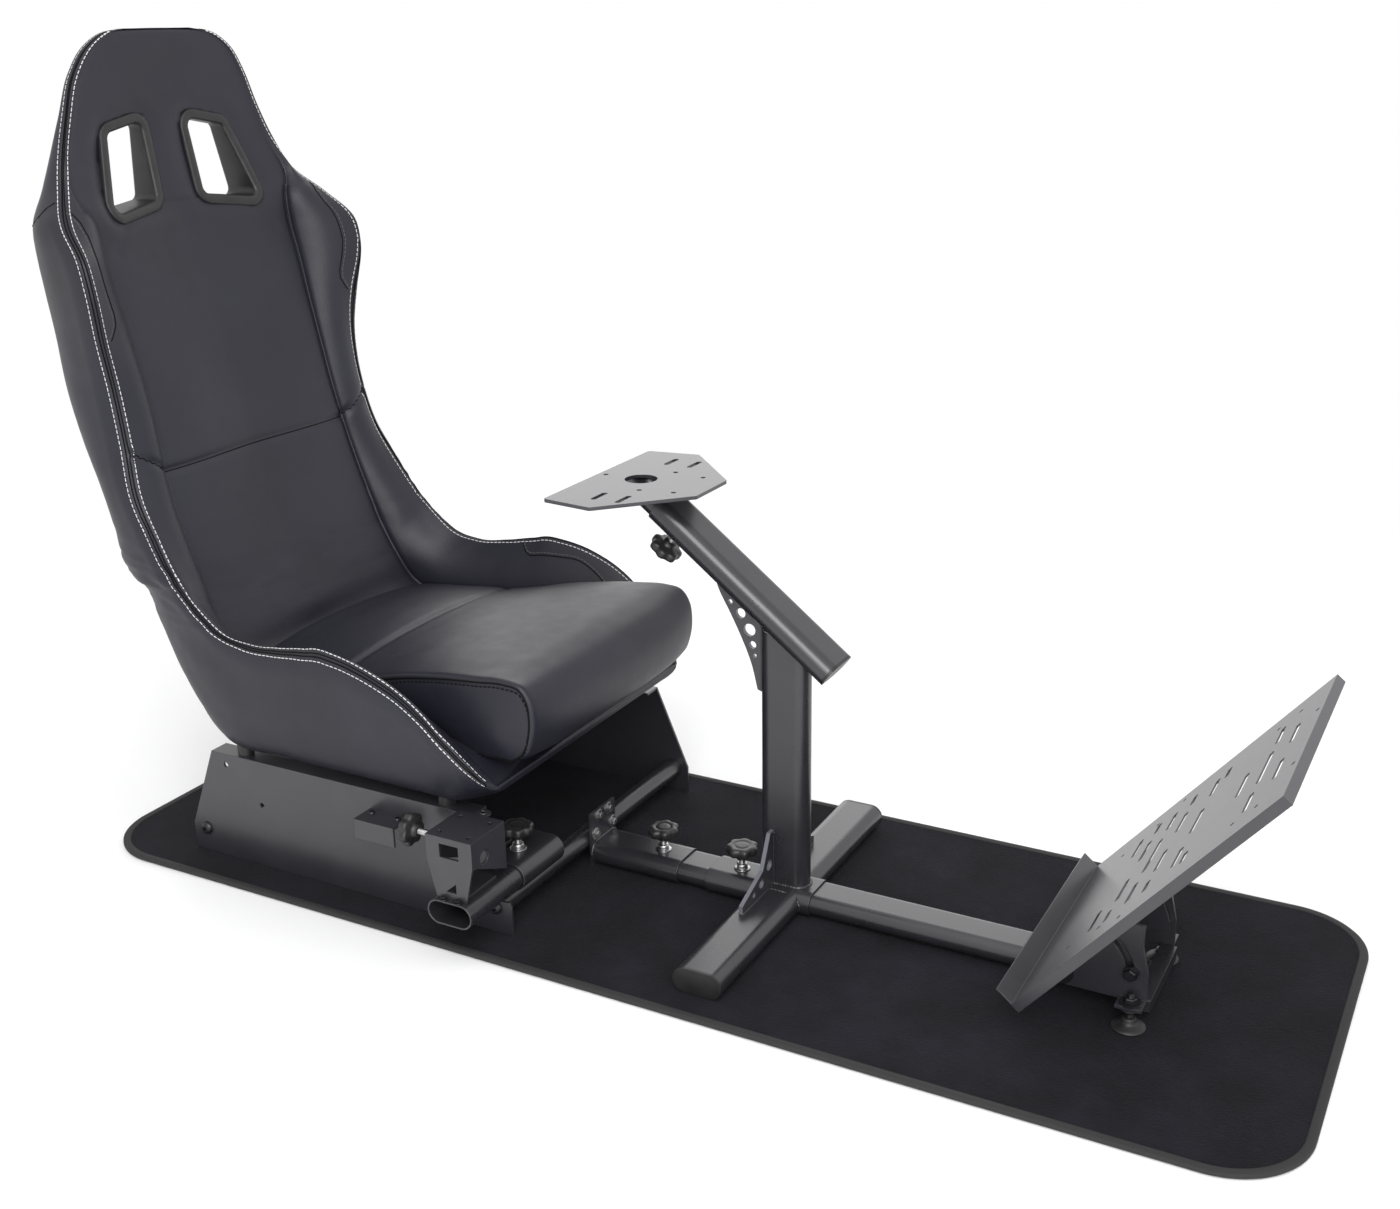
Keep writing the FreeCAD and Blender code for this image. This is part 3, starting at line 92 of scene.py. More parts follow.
class Look:
    """A material with its shader and object coordinates, and the patterns that feed it."""

    def __init__(self, name):
        self.material = bpy.data.materials.new(name)
        self.material.use_nodes = True
        self.tree = self.material.node_tree
        self.shader = self.tree.nodes["Principled BSDF"]
        self.where = add_node(self.tree, "TexCoord", {}).outputs["Object"]

    def noise(self, scale, detail=2.0, roughness=0.5):
        """A noise at a scale per metre."""
        inputs = {"Vector": self.where, "Scale": scale, "Detail": detail, "Roughness": roughness}
        return add_node(self.tree, "TexNoise", inputs).outputs["Fac"]

    def cells(self, scale, feature="F1"):
        """A cell pattern at a scale per metre."""
        inputs = {"Vector": self.where, "Scale": scale}
        return add_node(self.tree, "TexVoronoi", inputs, feature=feature).outputs["Distance"]

    def tones(self, factor, start, low, end, high):
        """Colours from low, at the start of a factor's range, to high at its end."""
        node = add_node(self.tree, "ValToRGB", {"Fac": factor})
        for stop, position, colour in zip(node.color_ramp.elements, (start, end), (low, high)):
            stop.position = position
            stop.color = (*colour, 1.0)
        return node.outputs["Color"]

    def spread(self, factor, low, high):
        """A factor from 0 to 1 spread from low to high."""
        inputs = {"Value": factor, "To Min": low, "To Max": high}
        return add_node(self.tree, "MapRange", inputs).outputs["Result"]

    def bumps(self, *layers, below=None):
        """Bumps of (height, strength, distance), each laid over the one before."""
        for height, strength, distance in layers:
            inputs = {"Height": height, "Strength": strength, "Distance": distance}
            if below is not None:
                inputs["Normal"] = below
            below = add_node(self.tree, "Bump", inputs).outputs["Normal"]
        return below

    def finish(self, inputs):
        """The material, once its shader has its inputs."""
        feed(self.tree, self.shader, inputs)
        return self.material


def grey(level, tint=0.0):
    """A grey, a little violet where tint is above 0."""
    return (level, level * (1 - tint * 0.06), level * (1 + tint))


def leather_material():
    """Grained black leatherette with soft creasing."""
    look = Look("leatherette_cover")
    creases = look.noise(48.0, 4.0, 0.55)
    grain, pores = look.cells(620.0, "SMOOTH_F1"), look.noise(1500.0)
    return look.finish({
        "Base Color": look.tones(look.noise(7.0, 3.0), 0.3, grey(0.010, 0.6), 0.7, grey(0.015, 0.6)),
        "Roughness": look.spread(creases, 0.40, 0.52),
        "Specular IOR Level": 0.42,
        "Normal": look.bumps((creases, 0.05, 0.003), (grain, 0.22, 0.0005), (pores, 0.10, 0.0003)),
    })


def powder_material(name, dark, light, rough_low, rough_high, edge=0.0, metal=0.0):
    """Satin powder coat with a faint orange peel, and soft edges where edge is above 0."""
    look = Look(name)
    below = None
    if edge:
        below = add_node(look.tree, "Bevel", {"Radius": edge}, samples=6).outputs["Normal"]
    cloud = look.noise(22.0, 4.0)
    return look.finish({
        "Base Color": look.tones(cloud, 0.3, grey(dark, 0.2), 0.75, grey(light, 0.2)),
        "Roughness": look.spread(cloud, rough_low, rough_high),
        "Metallic": metal,
        "Specular IOR Level": 0.75,
        "Normal": look.bumps((look.noise(900.0), 0.12, 0.0004), below=below),
    })


def carpet_material():
    """Short dense pile with the nap brushed in patches, and painted shade: darker deep in the pile, lighter
    at its lit tips.
    """
    look = Look("carpet_pile")
    pile, nap = look.noise(750.0, 3.0, 0.7), look.noise(9.0, 5.0, 0.6)
    # Painted shade: where the pile noise is low the carpet takes the darker tones, as if shaded deep in the
    # pile, and where it is high the lighter, lit tones.
    shaded_roots = look.tones(nap, 0.3, grey(0.0018, 0.6), 0.72, grey(0.008, 0.6))
    lit_tips = look.tones(nap, 0.3, grey(0.0040, 0.6), 0.72, grey(0.015, 0.6))
    tone = add_node(look.tree, "Mix", {"Factor": pile, 6: shaded_roots, 7: lit_tips}, data_type="RGBA")
    return look.finish({
        "Base Color": tone.outputs[2],
        "Roughness": 0.95,
        "Specular IOR Level": 0.11,
        "Sheen Weight": 0.035,
        "Sheen Roughness": 0.6,
        "Normal": look.bumps((look.cells(420.0), 0.6, 0.0012), (pile, 0.9, 0.0016)),
    })


def tape_material():
    """Woven edge tape with fine ribs."""
    look = Look("binding_tape")
    inputs = {"Vector": look.where, "Scale": 210.0, "Distortion": 0.6}
    weave = add_node(look.tree, "TexWave", inputs, bands_direction="DIAGONAL").outputs["Fac"]
    return look.finish({
        "Base Color": look.tones(weave, 0.2, grey(0.012), 0.8, grey(0.035)),
        "Roughness": 0.85,
        "Normal": look.bumps((weave, 0.5, 0.0006)),
    })


def plastic_material(name, level, rough, texture):
    """Moulded black plastic with a fine spark texture."""
    look = Look(name)
    cloud = look.noise(60.0, 3.0)
    return look.finish({
        "Base Color": look.tones(cloud, 0.3, grey(level * 0.8), 0.7, grey(level * 1.3)),
        "Roughness": look.spread(cloud, rough - 0.05, rough + 0.08),
        "Normal": look.bumps((look.noise(texture), 0.16, 0.0003)),
    })


def zinc_material():
    """Bright zinc plate with a drawn finish."""
    look = Look("zinc_plate")
    cloud = look.noise(160.0, 3.0)
    return look.finish({
        "Base Color": look.tones(cloud, 0.25, grey(0.34), 0.75, grey(0.66)),
        "Roughness": look.spread(cloud, 0.22, 0.42),
        "Metallic": 1.0,
        "Normal": look.bumps((look.noise(1400.0), 0.08, 0.0002)),
    })


def thread_material(name, low, high):
    """Twisted sewing thread."""
    look = Look(name)
    twist = look.noise(2600.0, 1.0)
    return look.finish({
        "Base Color": look.tones(twist, 0.3, grey(low), 0.7, grey(high)),
        "Roughness": 0.7,
        "Specular IOR Level": 0.12,
        "Normal": look.bumps((twist, 0.4, 0.0003)),
    })


LEATHER = leather_material()
POWDER = powder_material("powder_coat_satin", 0.017, 0.023, 0.25, 0.31)
SHEET_POWDER = powder_material("powder_coat_sheet", 0.024, 0.031, 0.29, 0.32, edge=0.0009)
# Painted highlight: a lighter powder coat for cut plate edges, standing in for light caught along them.
EDGE_HIGHLIGHT_PAINT = powder_material("powder_coat_painted_edge_highlight", 0.10, 0.16, 0.30, 0.40)
BLACK_ZINC = powder_material("black_oxide", 0.02, 0.035, 0.26, 0.36, metal=0.6)
CARPET = carpet_material()
TAPE = tape_material()
KNOB_PLASTIC = plastic_material("knob_plastic", 0.016, 0.36, 700.0)
BEZEL_PLASTIC = plastic_material("bezel_plastic", 0.012, 0.42, 800.0)
CAP_PLASTIC = plastic_material("cap_plastic", 0.014, 0.40, 900.0)
RUBBER = plastic_material("foot_rubber_black", 0.012, 0.48, 500.0)
ZINC = zinc_material()
WHITE_THREAD = thread_material("white_thread", 0.55, 0.8)
BLACK_THREAD = thread_material("black_thread", 0.003, 0.006)
GREY_THREAD = thread_material("grey_thread", 0.09, 0.14)


# Mesh helpers
WASHER, THREAD_PITCH, WELD_STEP = 0.0014, 0.00125, 0.0012
STITCH_LIFT = 0.0003
STITCH_SHAPE = ((-0.5, 0.35, -0.5), (-0.36, 0.9, 0.2), (0.0, 1.0, 0.45), (0.36, 0.9, 0.2), (0.5, 0.35, -0.5))


def link_object(name, data):
    """A new object in the scene."""
    made = bpy.data.objects.new(name, data)
    bpy.context.scene.collection.objects.link(made)
    return made


def clean(mesh, weld=0.0):
    """Turn a mesh's faces outwards, after welding and closing it where weld is above 0."""
    form = bmesh.new()
    form.from_mesh(mesh)
    if weld:
        bmesh.ops.remove_doubles(form, verts=form.verts, dist=weld)
        bmesh.ops.dissolve_degenerate(form, edges=form.edges, dist=weld / 10)
        bmesh.ops.holes_fill(form, edges=[edge for edge in form.edges if edge.is_boundary], sides=0)
    bmesh.ops.recalc_face_normals(form, faces=form.faces)
    form.to_mesh(mesh)
    form.free()


def add_object(name, vertices, faces, material, body, smooth=True):
    """A mesh piece that rides on a body and takes a finish."""
    mesh = bpy.data.meshes.new(name)
    mesh.from_pydata([tuple(v) for v in vertices], [], faces)
    clean(mesh)
    mesh.polygons.foreach_set("use_smooth", [smooth] * len(mesh.polygons))
    mesh.materials.append(material)
    piece = link_object(name, mesh)
    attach(piece, body)
    return piece


def skin(count, starts):
    """Quads between closed rings of count vertices, each ring given by its first vertex."""
    faces = []
    for low, high in zip(starts, starts[1:]):
        for i in range(count):
            j = (i + 1) % count
            faces.append((low + i, low + j, high + j, high + i))
    return faces


class Pile:
    """Vertices and faces gathered for one piece."""

    def __init__(self):
        self.vertices = []
        self.faces = []

    def loops(self, loops, joined=False):
        """A skin over closed loops of the same length, with its ends capped or else joined."""
        first, count = len(self.vertices), len(loops[0])
        starts = [first + count * k for k in range(len(loops))]
        if joined:
            starts.append(first)
        else:
            self.faces += [tuple(range(end, end + count)) for end in (first, starts[-1])]
        self.faces += skin(count, starts)
        for loop in loops:
            self.vertices += loop

    def make(self, name, material, body, slot, smooth=True):
        return add_object(name, self.vertices, self.faces, material, body, smooth)


def axes_of(direction):
    """A direction with two others that are square to it and to each other."""
    along = Vector(direction).normalized()
    across = along.cross(Vector(LEFT if abs(along.y) < 0.9 else FORWARD)).normalized()
    return along, across, along.cross(across)


def ring(centre, across, up, radius, count):
    """Points round a circle in the plane of two directions."""
    turns = [math.tau * i / count for i in range(count)]
    return [centre + (across * math.cos(turn) + up * math.sin(turn)) * radius for turn in turns]


def turned(pile, base, direction, profile, sides=24):
    """A turned form from (height, radius) pairs; six sides make it a nut."""
    along, across, up = axes_of(direction)
    pile.loops([ring(Vector(base) + along * height, across, up, radius, sides) for height, radius in profile])


def hex_bolt(pile, base, direction, flats, height, washer=True):
    """A hexagon head, on a washer or bare."""
    radius = flats / math.sqrt(3)
    start = WASHER if washer else 0.0
    if washer:
        plate = ((0, flats * 0.93), (start * 0.8, flats * 0.95), (start, flats * 0.9))
        turned(pile, base, direction, plate, 28)
    turned(pile, base, direction, (
        (start, radius * 0.97), (start + 0.0004, radius), (start + height * 0.8, radius),
        (start + height, radius * 0.86)), 6)


def button_bolt(pile, base, direction, radius):
    """A domed screw head with a socket."""
    shape = ((0, 1), (0.22, 1), (0.5, 0.82), (0.62, 0.5), (0.62, 0.36), (0.25, 0.34))
    turned(pile, base, direction, [(radius * height, radius * reach) for height, reach in shape])


def threaded_rod(pile, base, direction, length, radius):
    """A stud whose thread is a stack of ridges."""
    root = radius * 0.86
    profile = [(0, root)]
    turns = max(2, int(length / THREAD_PITCH))
    step = length / turns
    for turn in range(turns):
        for share, reach in ((0.25, radius), (0.5, radius), (0.9, root)):
            profile.append((step * (turn + share), reach))
    profile.append((length, radius * 0.7))
    turned(pile, base, direction, profile, 16)


def oval(centre, wide, high, width, height, count=40):
    """Points round a flat oval in the plane of two unit directions."""
    centre, wide, high = Vector(centre), Vector(wide), Vector(high)
    radius = height / 2
    points = []
    for i in range(count):
        angle = math.tau * i / count
        shift = math.copysign(width / 2 - radius, math.cos(angle))
        points.append(centre + wide * (shift + radius * math.cos(angle)) + high * (radius * math.sin(angle)))
    return points


def close_steps(points, step):
    """Points close together along a path, without its last one."""
    found = []
    for start, end in zip(points, points[1:]):
        pieces = max(1, int((end - start).length / step))
        found += [start.lerp(end, i / pieces) for i in range(pieces)]
    return found


def weld_bead(pile, path, radius, closed=True):
    """A rippled weld along a path."""
    points = [Vector(p) for p in path]
    if closed:
        dense = close_steps(points + points[:1], WELD_STEP)
        ends = dense[-1:], dense[:1]
    else:
        dense = close_steps(points, WELD_STEP) + points[-1:]
        ends = dense[:1], dense[-1:]
    loops = []
    for i, (behind, point, ahead) in enumerate(zip(ends[0] + dense, dense, dense[1:] + ends[1])):
        ripple = radius * (1 + 0.16 * math.sin(i * 2.1) + 0.08 * math.sin(i * 0.7 + 1))
        loops.append(ring(point, *axes_of(ahead - behind)[1:], ripple, 8))
    pile.loops(loops, closed)


def cord(pile, path, radius):
    """A plain round cord along an open path."""
    points = [Vector(p) for p in path]
    loops = []
    across = None
    for behind, point, ahead in zip(points[:1] + points, points, points[1:] + points[-1:]):
        along = (ahead - behind).normalized()
        across = across or axes_of(along)[1]
        across = (across - along * across.dot(along)).normalized()
        loops.append(ring(point, across, along.cross(across), radius, 6))
    pile.loops(loops)


def spaced(path, pitch):
    """Points at even steps along a path, with the direction of travel at each."""
    points = [Vector(p) for p in path]
    found = []
    carried = 0.0
    for start, end in zip(points, points[1:]):
        run = (end - start).length
        if run < 1e-9:
            continue
        at = pitch - carried if found or carried else 0.0
        while at <= run:
            found.append((start.lerp(end, at / run), (end - start).normalized()))
            at += pitch
        carried = run - (at - pitch)
    return found


def sew(pile, path, tree, stitch):
    """Stitches of (pitch, length, radius) along a path, laid on the surface that a search tree holds."""
    pitch, length, radius = stitch
    for point, heading in spaced(path, pitch):
        place, normal, _, _ = tree.find_nearest(point)
        along = (heading - normal * heading.dot(normal)).normalized()
        loops = []
        for share, thick, rise in STITCH_SHAPE:
            middle = place + along * (length * share) + normal * (STITCH_LIFT + radius * rise)
            loops.append(ring(middle, normal.cross(along), normal, radius * thick, 6))
        pile.loops(loops)


def smooth_rows(rows, spacing):
    """Rows of control points drawn out into close rows by a smooth curve through each column."""
    rows = np.asarray(rows, float)
    lengths = np.linalg.norm(np.diff(rows, axis=0), axis=2).max(axis=1)
    slopes = np.diff(rows, axis=0) / lengths[:, None, None]
    tangents = np.empty_like(rows)
    tangents[0], tangents[-1] = slopes[0], slopes[-1]
    before, after = lengths[:-1, None, None], lengths[1:, None, None]
    tangents[1:-1] = (slopes[:-1] * after + slopes[1:] * before) / (before + after)
    out = []
    for i, length in enumerate(lengths):
        steps = max(2, int(round(length / spacing)))
        for t in np.arange(steps) / steps:
            ahead = 3 * t ** 2 - 2 * t ** 3
            pull = (t ** 3 - 2 * t ** 2 + t) * tangents[i] + (t ** 3 - t ** 2) * tangents[i + 1]
            out.append((1 - ahead) * rows[i] + ahead * rows[i + 1] + length * pull)
    out.append(rows[-1])
    return np.array(out)


def smooth_path(points, spacing):
    """Close points on a smooth curve through a few points."""
    return smooth_rows(np.asarray(points, float)[:, None, :], spacing)[:, 0, :]


def runs_of(path):
    """How far along a path each of its points lies."""
    return np.concatenate(([0.0], np.cumsum(np.linalg.norm(np.diff(path, axis=0), axis=1))))


def at_runs(wanted, runs, path):
    """Points of a path at the wanted runs along it."""
    return np.stack([np.interp(wanted, runs, path[:, k]) for k in range(3)], axis=1)


# Harness holes: corners (y, z) of the left one, their rounding, the width of the frame round it, how far the
# cover dips beside the frame, and the frame's section (growth of the outline, rise above the cover)
HOLE_CORNERS = ((0.039, 0.895), (0.096, 0.884), (0.124, 0.791), (0.041, 0.802))
HOLE_ROUND, BEZEL_REACH, BEZEL_DIP, BEZEL_LIP = 0.009, 0.013, 0.0035, 0.0012
BEZEL_SHAPE = (
    (BEZEL_REACH, -0.003), (BEZEL_REACH, 0.0016), (BEZEL_REACH - BEZEL_LIP, 0.0030),
    (BEZEL_REACH * 0.6, 0.0038), (0.0034, 0.0034), (0.0010, 0.0020), (0.0, -0.001),
)
HEAD_MIDDLE, HEAD_REACH = -0.75, 0.25

# Bucket seat cover. Rows run from the crown down the back and forward to the nose. Each has
# the edge seam (x, z, half width), the panel seam (x, z, half width), the middle of the front (x, z),
# the rear corner (x, z, half width) and the middle of the rear (x, z), all in millimetres, and the share
# of the full depth that its panel seams have.
BUCKET_ROWS = (
    ((-741, 1003, 58), (-741, 1003.2, 52), (-742, 1003.5), (-749, 1003.2, 53), (-750, 1003.5), 0),
    ((-737, 998, 90), (-737, 998, 82), (-737, 999), (-752, 998, 82), (-756, 999), 0),
    ((-736, 980, 120), (-736, 980, 111), (-738, 980), (-753, 980, 112), (-761, 980), 0),
    ((-738, 952, 141), (-738, 952, 130), (-743, 952), (-755, 952, 133), (-765, 952), 0),
    ((-737, 906, 160), (-738, 906, 149), (-745, 906), (-758, 906, 153), (-768, 906), 0),
    ((-732, 866, 176), (-734, 866, 165), (-743, 866), (-761, 866, 169), (-770, 866), 0),
    ((-720, 826, 194), (-722, 826, 184), (-738, 826), (-763, 826, 187), (-771, 826), 0.5),
    ((-687, 789, 224), (-709, 788, 167), (-731, 786), (-762, 789, 208), (-771, 786), 1),
    ((-652, 753, 239), (-705, 750, 166), (-724, 750), (-759, 752, 212), (-771, 750), 1),
    ((-645, 716, 239), (-696, 713, 166), (-714, 713), (-756, 714, 211), (-768, 713), 1),
    ((-651, 660, 229), (-682, 658, 163), (-696, 658), (-755, 660, 206), (-762, 658), 1),
    ((-653, 600, 219), (-667, 598, 161), (-679, 598), (-753, 600, 203), (-757, 598), 1),
    ((-647, 535, 218), (-653, 533, 162), (-662, 533), (-738, 535, 203), (-744, 533), 1),
    ((-634, 475, 225), (-640, 470, 167), (-646, 468), (-713, 475, 206), (-721, 470), 1),
    ((-605, 425, 229), (-622, 412, 169), (-624, 405), (-695, 425, 210), (-703, 422), 1),
    ((-577, 383, 231), (-605, 366, 170), (-605, 358), (-684, 383, 212), (-692, 380), 1),
    ((-566, 369, 231), (-598, 346, 171), (-597, 338), (-676, 366, 209), (-682, 364), 1),
    ((-559, 361, 232), (-592, 332, 172), (-592, 326), (-664, 358, 206), (-668, 356), 1),
    ((-523, 331, 233), (-574, 294, 176), (-576, 290), (-643, 316, 207), (-646, 313), 0.8),
    ((-470, 317, 233), (-545, 250, 188), (-556, 248), (-601, 236, 211), (-602, 233), 0.6),
    ((-425, 321, 235), (-480, 234, 197), (-480, 232), (-545, 173, 213), (-545, 169), 0.5),
    ((-385, 328, 238), (-400, 233, 202), (-400, 231), (-450, 168, 215), (-450, 166), 0.5),
    ((-345, 332, 241), (-345, 233, 205), (-345, 231), (-352, 168, 216), (-352, 166), 0.5),
    ((-292, 321, 243), (-290, 232, 206), (-290, 231), (-285, 168, 217), (-285, 166), 0.5),
    ((-250, 303, 242), (-245, 230, 207), (-245, 231), (-240, 167, 216), (-240, 165), 0.5),
    ((-216, 278, 240), (-211, 226, 207), (-213, 226), (-206, 166, 215), (-212, 166), 0.4),
    ((-190, 249, 236), (-187, 218, 206), (-194, 215), (-184, 170, 211), (-194, 172), 0.3),
    ((-167, 219, 229), (-166, 206, 205), (-185, 207), (-163, 177, 208), (-185, 184), 0.1),
    ((-150, 197, 220), (-150, 193, 205), (-181, 203), (-148, 183, 206), (-181, 192), 0),
    ((-144, 189, 212), (-144, 188, 206), (-180, 200), (-143, 186, 207), (-180, 196), 0),
)
MM, ROW_STEP, DEPTH_SCALE = 0.001, 0.0045, 0.01
PANEL_COUNT, BOLSTER_COUNT, OUTER_COUNT = 22, 18, 40
SEAM_INDEX = PANEL_COUNT
EDGE_INDEX = PANEL_COUNT + BOLSTER_COUNT
HALF_COUNT = EDGE_INDEX + OUTER_COUNT
RING_COUNT = 2 * HALF_COUNT
SEAM_COLUMNS = (SEAM_INDEX, RING_COUNT - SEAM_INDEX)
EDGE_COLUMNS = (EDGE_INDEX, RING_COUNT - EDGE_INDEX)
FRONT_COLUMNS = np.arange(-EDGE_INDEX + 2, EDGE_INDEX - 1)
PANEL_SWELL, BOLSTER_SWELL, OUTER_SWELL = 0.006, 0.013, 0.007
OUTER_SHAPE = ((0.0, 0.0), (0.10, 0.9), (0.40, 1.5), (0.75, 1.3))
RIDGE_COLUMNS, SEAM_OUT, SEAM_LEFT = 5, 0.0085, 0.008
PANEL_SEAM_DEPTH, EDGE_SEAM_DEPTH, EDGE_SEAM_WIDTH = 0.0038, 0.0026, 0.0035
CROSS_SEAM_Z, CROSS_SEAM_LIFT, CROSS_SEAM_DEPTH, CROSS_SEAM_WIDTH = 0.491, 0.037, 0.0040, 0.0042
HEAD_LOW, HEAD_HIGH, BACK_FRONT = 0.80, 0.95, -0.56
HIP_X, HIP_RUN, WING_LOW, WING_RUN, TIP_X, TIP_RUN = -0.655, 0.10, 0.73, 0.09, -0.15, 0.05
FOLD_Y, FOLD_Z, FOLD_OUT, FOLD_DOWN, FOLD_DEPTH, FOLD_WIDTH = 0.108, 0.781, 0.030, 0.032, 0.0016, 0.006
HEM_Z, HEM_REACH, HEM_WAVE, WAVE, HIP_WAVE, LEAST = 0.372, 0.045, 0.0022, 0.0006, 0.0006, 0.02


def control_row(row):
    """One row of the table as points in x, y, z and a last point that carries the seam depth."""
    *places, depth = row
    points = [(x * MM, half[0] * MM if half else 0.0, z * MM) for x, z, *half in places]
    return points + [(depth * DEPTH_SCALE, 0.0, 0.0)]


def through(points, count):
    """Points spaced along a smooth curve through a few points, without the last one."""
    fine = smooth_path(points, 0.002)
    runs = runs_of(fine)
    return at_runs(runs[-1] * np.linspace(0, 1, count + 1)[:-1] ** 1.3, runs, fine)


def half_ring(row):
    """Half of one section, from the middle of the front round to just short of the middle of the rear."""
    edge, seam, middle, corner, rear, carried = row
    depth = max(0.0, carried[0] / DEPTH_SCALE)
    front = (middle - rear) / np.linalg.norm(middle - rear)
    side = np.array(LEFT, float)
    t = 1 - (1 - np.arange(PANEL_COUNT)[:, None] / PANEL_COUNT) ** 1.5
    panel = middle * (1 - t) + seam * t + front * PANEL_SWELL * depth * 4 * t * (1 - t) * t
    t = np.arange(BOLSTER_COUNT)[:, None] / BOLSTER_COUNT
    t = 0.4 * t + 0.6 * t ** 2 * (3 - 2 * t)
    rise = edge - seam
    inward = front * rise.dot(side) - side * rise.dot(front)
    inward = inward / max(np.linalg.norm(inward), 1e-9)
    swell = BOLSTER_SWELL * (0.25 + 0.75 * depth)
    bolster = seam * (1 - t) + edge * t + inward * swell * np.sin(np.pi * t ** 0.85)
    span = corner - edge
    swell = side * min(OUTER_SWELL, np.linalg.norm(span) * 0.1)
    outer = [edge + span * share + swell * out for share, out in OUTER_SHAPE]
    outer += [corner, corner * 0.55 + rear * 0.45 - front * 0.002, rear]
    return np.concatenate((panel, bolster, through(outer, OUTER_COUNT)))


def hole_arcs(steps=7):
    """The round corners of the left harness hole, as pairs of a centre and an outward direction."""
    corners = [Vector(corner) for corner in HOLE_CORNERS]
    lines = []
    for a, b in zip(corners, corners[1:] + corners[:1]):
        along = (b - a).normalized()
        out = Vector((-along.y, along.x))
        lines.append((a - out * HOLE_ROUND, along, out))
    arcs = []
    for (p, d, out), (q, e, ahead) in zip(lines[-1:] + lines, lines):
        centre = p + d * ((q - p).cross(e) / d.cross(e))
        arcs += [(centre, out.slerp(ahead, k / steps)) for k in range(steps + 1)]
    return arcs


def hole_outline(grow, side=1):
    """The (y, z) outline of the left harness hole, or of the right one where side is -1, grown evenly."""
    points = [centre + out * (HOLE_ROUND + grow) for centre, out in hole_arcs()]
    return [Vector((side * point.x, point.y)) for point in points]


def beyond_bezel(y, z, outline):
    """How far a place of the head lies outside the outline of a bezel; 0 within it."""
    inside = False
    nearest = 1.0
    for a, b in zip(outline, outline[1:] + outline[:1]):
        run = b - a
        share = clamp(((y - a.x) * run.x + (z - a.y) * run.y) / run.length_squared)
        nearest = min(nearest, math.hypot(y - a.x - run.x * share, z - a.y - run.y * share))
        if (a.y > z) != (b.y > z) and y < a.x + run.x * (z - a.y) / run.y:
            inside = not inside
    return 0.0 if inside else nearest


def bucket_grid():
    """All the sections of the cover as an array of rows, places round the section, and x, y, z."""
    controls = smooth_rows([control_row(row) for row in BUCKET_ROWS], ROW_STEP)
    halves = np.array([half_ring(row) for row in controls])
    left = np.concatenate((halves, controls[:, 4:5, :]), axis=1)
    right = left[:, -2:0:-1, :] * np.array((1.0, -1.0, 1.0))
    return np.concatenate((left, right), axis=1), controls


def grid_normals(grid):
    """Outward directions at each place of the cover."""
    across = np.roll(grid, -1, axis=1) - np.roll(grid, 1, axis=1)
    normals = np.cross(across, np.gradient(grid, axis=0))
    normals /= np.maximum(np.linalg.norm(normals, axis=2, keepdims=True), 1e-12)
    middle = grid[:, 0, :] - grid[:, HALF_COUNT, :]
    facing = np.mean(np.sum(normals[20:100, 0, :] * middle[20:100], axis=1))
    return normals if facing >= 0 else -normals


def relax(grid, rows, columns, rounds):
    """Even out part of a grid across the section."""
    for _ in range(rounds):
        near = (np.roll(grid, 1, axis=1) + np.roll(grid, -1, axis=1)) / 2
        grid[rows[:, None], columns] += 0.5 * (near - grid)[rows[:, None], columns]


def seam_shift(place):
    """How far outside the ridge the edge seam lies.

    It lies further out from the hips forward, and further in on the left below the wing.
    """
    x, y, z = place
    shift = SEAM_OUT * ease((x - HIP_X) / HIP_RUN)
    if y > 0:
        shift -= SEAM_LEFT * ease((WING_LOW - z) / WING_RUN)
    return shift * clamp((TIP_X - x) / TIP_RUN)


def round_ridges(grid):
    """Turn the sharp edge seam into a full, round ridge of the same height."""
    rows = np.arange(4, len(grid) - 4)
    for centre in EDGE_COLUMNS:
        columns = np.arange(centre - RIDGE_COLUMNS, centre + RIDGE_COLUMNS + 1)
        before = grid[rows, centre].copy()
        relax(grid, rows, columns, 12)
        back = before - grid[rows, centre]
        share = bell(columns - centre, RIDGE_COLUMNS * 0.8)
        grid[rows[:, None], columns] += back[:, None, :] * share[None, :, None]


def seam_push(grid, controls):
    """How far the seams are pressed into the cover, as heights below 0."""
    depth = np.clip(controls[:, 5, 0] / DEPTH_SCALE, 0, 1)
    push = np.zeros(grid.shape[:2])
    columns = np.arange(RING_COUNT)
    for place in SEAM_COLUMNS:
        push -= PANEL_SEAM_DEPTH * depth[:, None] * bell(columns - place, 1.0)[None, :]
    for place, step in zip(EDGE_COLUMNS, (1, -1)):
        for row in range(len(grid)):
            wanted = seam_shift(grid[row, place])
            way = step if wanted >= 0 else -step
            if wanted < 0:
                push[row, place + step] -= EDGE_SEAM_DEPTH * bell(0.003 - wanted, EDGE_SEAM_WIDTH)
            walked = 0.0
            for at in range(place, place + 7 * way, way):
                push[row, at] -= EDGE_SEAM_DEPTH * bell(walked - abs(wanted), EDGE_SEAM_WIDTH)
                walked += np.linalg.norm(grid[row, at + way] - grid[row, at])
    from_middle = np.minimum(columns, RING_COUNT - columns)
    line = CROSS_SEAM_Z + np.maximum(from_middle - SEAM_INDEX, 0) / BOLSTER_COUNT * CROSS_SEAM_LIFT
    on_back = (grid[:, :, 0] < BACK_FRONT) & (from_middle < EDGE_INDEX)
    return push - CROSS_SEAM_DEPTH * bell(grid[:, :, 2] - line, CROSS_SEAM_WIDTH) * on_back


